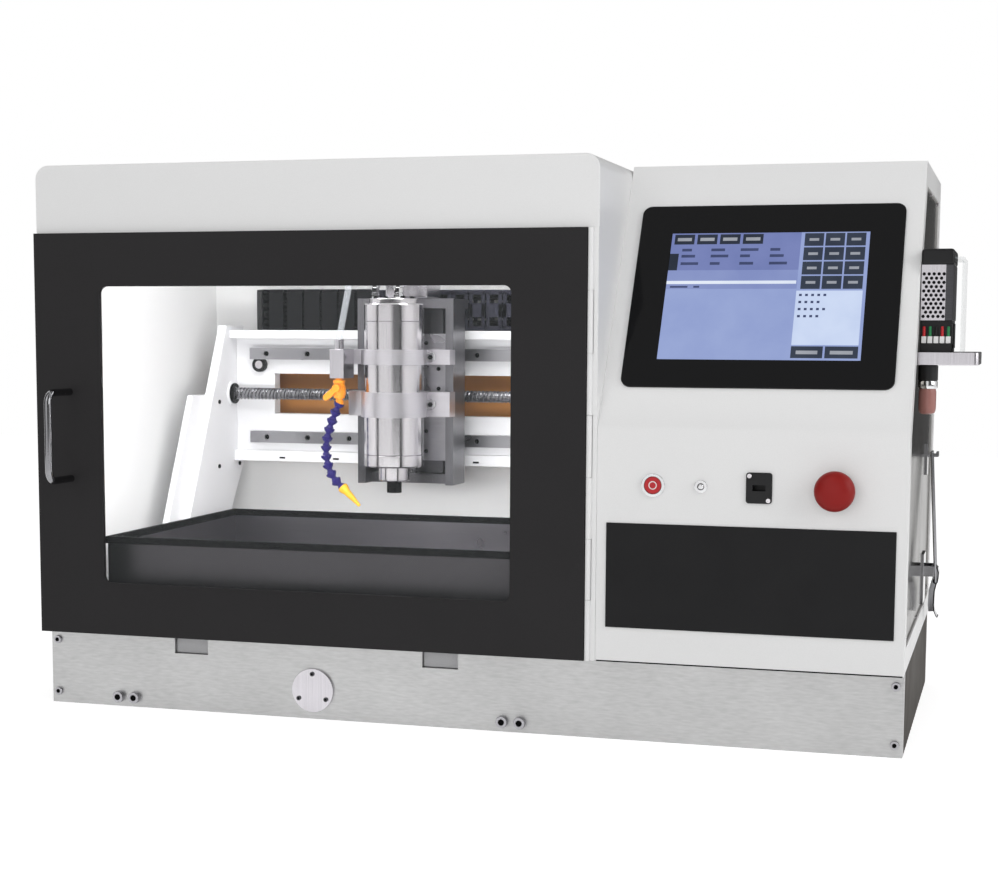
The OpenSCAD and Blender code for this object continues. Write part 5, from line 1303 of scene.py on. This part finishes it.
KEYS, keys_in = tree_with(
    "key_grid", Piece="Object", Width="Float", Height="Float", Columns="Int", Rows="Int"
)
keys_grid = add(KEYS, "GeometryNodeMeshGrid")
keys_points = add(KEYS, "GeometryNodeMeshToPoints")
wire(
    KEYS,
    (keys_in, "Width", keys_grid, "Size X"), (keys_in, "Height", keys_grid, "Size Y"),
    (keys_in, "Columns", keys_grid, "Vertices X"), (keys_in, "Rows", keys_grid, "Vertices Y"),
    (keys_grid, "Mesh", keys_points, "Mesh"),
)
copies_end(KEYS, keys_in, keys_points, "Points")

pitch_x, pitch_y = KEYS_WIDE / KEY_COLUMNS * DISPLAY_W, KEYS_TALL / KEY_ROWS * DISPLAY_H
half_x, half_y = pitch_x * 0.46, pitch_y * 0.45
keys_place = ((KEYS_MIDDLE[0] - 0.5) * DISPLAY_W * MM, (0.5 - KEYS_MIDDLE[1]) * DISPLAY_H * MM, 0)
key = block((-half_x, -half_y, -0.2), (half_x, half_y, 0.12), 0)
key_mark = block((-half_x * 0.5, -half_y * 0.2, -0.1), (half_x * 0.5, half_y * 0.2, 0.16), 0)
for mesh, material in ((key, PAGE_KEY), (key_mark, PAGE_MARK)):
    grid = copied(
        KEYS, bpy.data.meshes.new("empty"), mesh, material, Width=pitch_x * (KEY_COLUMNS - 1) * MM,
        Height=pitch_y * (KEY_ROWS - 1) * MM, Columns=KEY_COLUMNS, Rows=KEY_ROWS,
    )
    page.append((placed(grid, turn=LEAN_FRAME @ Matrix.Translation(keys_place)), material))
settle(joined("screen_page", page), "screen_display")
print("jog keys:", KEY_COLUMNS * KEY_ROWS)

# %% [markdown]
# ## Power supply and cup on the right side
# A small supply stands on the shelf: a black cap, a perforated cage, a plain edge, and a terminal block at
# the foot with the ends of its wires. The cage could be cut, but hundreds of holes would cost more than they
# show, so each hole is a dark round set into the sheet, painted shade for the dark inside seen through it.
# Under the shelf hangs a small oil cup with a dark lid and a bright ring.

# %% Power supply
CAP_TALL, FOOT_TALL, EDGE_W = 17, 32, 8
HOLE_PITCH = 4.9
HOLE_ROW = HOLE_PITCH * 0.87
(sx0, sy0, sz0), (sx1, sy1, sz1) = mm_box("power_supply")
cage_z0, cage_z1 = sz0 + FOOT_TALL, sz1 - CAP_TALL
supply_parts = [
    (block((sx0, sy0, cage_z1), (sx1, sy1, sz1), 3.5, 3), BLACK_PLASTIC),
    (block((sx0 + 0.5, sy0 + 0.8, cage_z0), (sx1 - EDGE_W, sy1 - 0.8, cage_z1 + 1), 0.5), PLATE),
    (block((sx1 - EDGE_W - 0.2, sy0 + 0.3, cage_z0), (sx1 - 0.3, sy1 - 0.3, cage_z1 + 1), 0.6), DARK_STEEL),
    (block((sx0 + 0.5, sy0 + 6, sz0), (sx1 - 1, sy1 - 1, cage_z0 + 1), 0.8), BLACK_PLASTIC),
    (block((sx0 + 0.5, sy0 + 1, sz0), (sx1 - 1, sy0 + 30, sz0 + 9), 0.8), BLACK_PLASTIC),
]


def steps(start, stop):
    """Places of the holes in one row, from start to below stop."""
    return [start + i * HOLE_PITCH for i in range(math.ceil((stop - start) / HOLE_PITCH))]


front_holes, side_holes = [], []
for row in range(int((cage_z1 - cage_z0 - 5) / HOLE_ROW)):
    z = cage_z0 + 4 + row * HOLE_ROW
    shift = HOLE_PITCH / 2 * (row % 2)
    front_holes += [(x * MM, (sy0 + 0.8) * MM, z * MM) for x in steps(sx0 + 3.2 + shift, sx1 - EDGE_W - 2.2)]
    side_holes += [((sx0 + 0.5) * MM, y * MM, z * MM) for y in steps(sy0 + 4 + shift, sy1 - 4)]
# Each hole is a thin black disc on the cage: painted shade for the dark inside seen through it.
for holes, turn in ((front_holes, TO_MINUS_Y), (side_holes, TO_MINUS_X)):
    hole_shade_disc = turned([(0, 0), (1.85, 0), (1.8, 0.12), (0, 0.12)], 6)
    supply_parts.append(set_out(placed(hole_shade_disc, turn=turn), holes, BLACK_STEEL))
for i, colour in enumerate((WIRE_RED, GREEN, BLACK_PLASTIC, WIRE_RED, GREEN)):
    x = sx0 + 4.5 + i * 6
    stub = turned([(0, 0), (1.5, 0), (1.5, 9), (1.2, 10.5), (0, 10.5)], 14)
    supply_parts += [
        (block((x - 2.4, sy0 + 2, sz0 + 9), (x + 2.4, sy0 + 6.5, sz0 + 16), 0.4), WHITE_PLASTIC),
        (placed(stub, (x * MM, (sy0 + 4) * MM, (sz0 + 15.5) * MM)), colour),
    ]
for i in range(6):
    y = sy0 + 34 + i * 7
    supply_parts.append((block((sx1 - 1.2, y, sz0 + 4), (sx1 - 0.1, y + 3, cage_z0 - 3), 0.3), BLACK_PLASTIC))
settle(joined("supply_cage", supply_parts), "power_supply")
print("power supply:", len(front_holes) + len(side_holes), "holes in its cage")

# %% Oil cup
LID_TALL, RING_TALL = 16, 8
cup_low, cup_high = mm_box("oil_cup")
cup_place = Vector(((cup_low.x + cup_high.x) / 2, (cup_low.y + cup_high.y) / 2, cup_low.z)) * MM
cup_h = cup_high.z - cup_low.z
lid_z, ring_z = cup_h - LID_TALL, cup_h - LID_TALL - RING_TALL
CUP = [
    (BLACK_PLASTIC, [(0, lid_z), (9.6, lid_z), (10, lid_z + 1), (10, cup_h - 1), (9.2, cup_h), (0, cup_h)]),
    (CHROME, [(0, ring_z), (9.2, ring_z), (9.8, ring_z + 1), (9.8, lid_z - 1), (9.2, lid_z), (0, lid_z)]),
    (
        CUP_RED,
        [
            (0, 0), (5, 0), (7.4, 1.2), (8.4, 3), (8.8, 6), (8.8, ring_z - 3), (8.2, ring_z - 1.4),
            (8.2, ring_z), (0, ring_z),
        ],
    ),
]
cup_parts = [(placed(turned(profile, 36), cup_place), material) for material, profile in CUP]
settle(joined("oil_cup_body", cup_parts), "oil_cup")
print("oil cup:", round(cup_h, 1), "mm tall")

# %% [markdown]
# ## Latch lever
# The lever of the toggle latch is a stamped channel: a curved back that bulges over the pivot and runs down
# to a lip for the finger, with two side walls. Its outline is drawn once from the side and given its width.

# %% Latch lever
PIVOT_X, PIVOT_Z = 483.0, 150.0
SHEET, WALL_DEEP, PIN_R = 1.4, 7.0, 1.7
LEVER_BACK = [
    (1.2, 6.4), (4.6, 5.6), (7.4, 3.2), (8.8, -2.0), (8.4, -9.0), (6.4, -16.0), (4.6, -24.0), (4.2, -40.0),
    (5.0, -47.0), (7.4, -52.5), (8.8, -54.0),
]
BARRELS = [(4, 0, 0), (3.2, 5, -12)]
lever_y0, lever_y1 = (corner.y for corner in mm_box("latch_lever"))
lever_w = lever_y1 - lever_y0


def side_strip(line, thickness, y0, y1):
    """A bent sheet: a side outline in X and Z about the pivot, thickened and run across in Y."""
    shape = bmesh.new()
    rows = []
    for i, (x, z) in enumerate(line):
        before, after = Vector(line[max(i - 1, 0)]), Vector(line[min(i + 1, len(line) - 1)])
        way = (after - before).normalized()
        inward = Vector((way.y, -way.x)) * thickness
        ring = [(x, y0, z), (x, y1, z), (x + inward.x, y1, z + inward.y), (x + inward.x, y0, z + inward.y)]
        rows.append([shape.verts.new(((PIVOT_X + a) * MM, b * MM, (PIVOT_Z + c) * MM)) for a, b, c in ring])
    for low, high in zip(rows, rows[1:]):
        for k in range(4):
            shape.faces.new([low[k], low[(k + 1) % 4], high[(k + 1) % 4], high[k]])
    shape.faces.new(rows[0])
    shape.faces.new(rows[-1][::-1])
    bmesh.ops.recalc_face_normals(shape, faces=shape.faces)
    return mesh_of(shape)


lever_meshes = [side_strip(LEVER_BACK, SHEET, lever_y0, lever_y1)]
for y0, y1 in ((lever_y0, lever_y0 + SHEET), (lever_y1 - SHEET, lever_y1)):
    lever_meshes.append(side_strip(LEVER_BACK[1:-2], WALL_DEEP, y0, y1))
for radius, x, z in BARRELS:
    pipe = turned([(PIN_R, 0), (radius, 0), (radius, lever_w), (PIN_R, lever_w)], 24)
    lever_meshes.append(placed(pipe, ((PIVOT_X + x) * MM, lever_y1 * MM, (PIVOT_Z + z) * MM), TO_MINUS_Y))
settle(joined("latch_handle", [(mesh, CHROME_PAINTED_DARK) for mesh in lever_meshes]), "latch_lever")
print("latch lever:", round(lever_w, 1), "mm wide")

# %% [markdown]
# ## Cover and base screws, shadow-gap strip and inlet pins
# Sheet covers are held by small screws along their edges. They are few, but without them the back and the
# side would look like plain boxes. The base has cap screws at its corners and where its bars end. A thin dark
# strip between the control box and the base is painted shade for the shadow gap there, and the mains inlet
# has three pins.

# %% Cover screws
COVER_IN, COVER_TOP = 12, 14
SIDE_PANEL_SCREWS = [(-195, 118), (0, 110), (205, 118), (205, 350), (205, 575), (60, 577), (-205, 300)]
shell_low, shell_high = mm_box("control_shell")
left_x, hood_x, right_x = hood_low.x / MM, hood_middle.x / MM, hood_high.x / MM
back_screws = [
    (x * MM, shell_high.y * MM, z * MM)
    for x in (left_x + COVER_IN, hood_x, right_x - COVER_IN, shell_low.x + COVER_IN, shell_high.x - COVER_IN)
    for z in (shell_low.z + COVER_IN, (shell_low.z + shell_high.z) / 2, shell_high.z - COVER_TOP)
]
panel_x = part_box("control_side_panel")[1].x
side_screws = [(panel_x, y * MM, z * MM) for y, z in SIDE_PANEL_SCREWS]
cover_parts = [
    heads_on(back_screws, 6, 1.6, TO_PLUS_Y, BRIGHT),
    heads_on(side_screws, 5, 1.4, TO_PLUS_X, BRIGHT),
]
settle(joined("cover_screws", cover_parts), "base_screws", stands=False)
print("cover screws:", len(back_screws) + len(side_screws))

# %% Base screws
CORNER_IN, CORNER_HEIGHTS = 8.0, (13.0, 72.5)
BAR_OUT, BAR_APART, BAR_Z = 225, 9.75, 11.0
COVER_Z, COVER_R, COVER_T = 32.0, 18.24, 3.0
base_low, base_high = mm_box("base_front_plate")
corners = [(x, z) for x in (base_low.x + CORNER_IN, base_high.x - CORNER_IN) for z in CORNER_HEIGHTS]
bars = [(hood_x + s * BAR_OUT + t * BAR_APART, BAR_Z) for s in (-1, 1) for t in (-1, 1)]
cover_spots = [
    (hood_x + COVER_R * math.cos(t), COVER_Z + COVER_R * math.sin(t))
    for t in map(math.radians, (90, 210, 330))
]
base_parts = []
for spots, y, turn, diameter, height, material in (
    (corners, base_low.y, TO_MINUS_Y, 9, 3, GROUND),
    (corners, -base_low.y, TO_PLUS_Y, 9, 3, GROUND),
    (bars, base_low.y, TO_MINUS_Y, 13, 6, GROUND),
    (cover_spots, base_low.y - COVER_T, TO_MINUS_Y, 5, 1.5, DARK_STEEL),
):
    base_parts += cap_screws([(x * MM, y * MM, z * MM) for x, z in spots], diameter, height, turn, material)
settle(joined("base_screw_heads", base_parts), "base_screws")
print("base screws:", 2 * len(corners) + len(bars) + len(cover_spots))

# %% Shadow-gap strip and inlet pins
PIN_DEEP = 14
PINS = [(-7, 5), (7, 5), (0, 9)]
# A thin black strip along the bottom front of the control box: painted shade for the gap above the base.
gap_shade_strip = block(
    (shell_low.x + 1, shell_low.y - 0.25, shell_low.z - 0.4),
    (shell_high.x - 1, shell_low.y + 2, shell_low.z + 1),
    0.2,
)
settle(joined("shell_seal", [(gap_shade_strip, RUBBER)]), "tray_trim", stands=False)

inlet_low, inlet_high = mm_box("mains_inlet")
inlet_x, inlet_z = (inlet_low.x + inlet_high.x) / 2, (inlet_low.z + inlet_high.z) / 2
pin_spots = [((inlet_x + x) * MM, (inlet_high.y - PIN_DEEP) * MM, (inlet_z + z) * MM) for x, z in PINS]
pin = placed(block((-1, -2, 0), (1, 2, 9), 0.4), turn=TO_PLUS_Y)
settle(joined("inlet_pins", [set_out(pin, pin_spots, BRASS)]), "mains_inlet", stands=False)
print("inlet pins:", len(pin_spots))
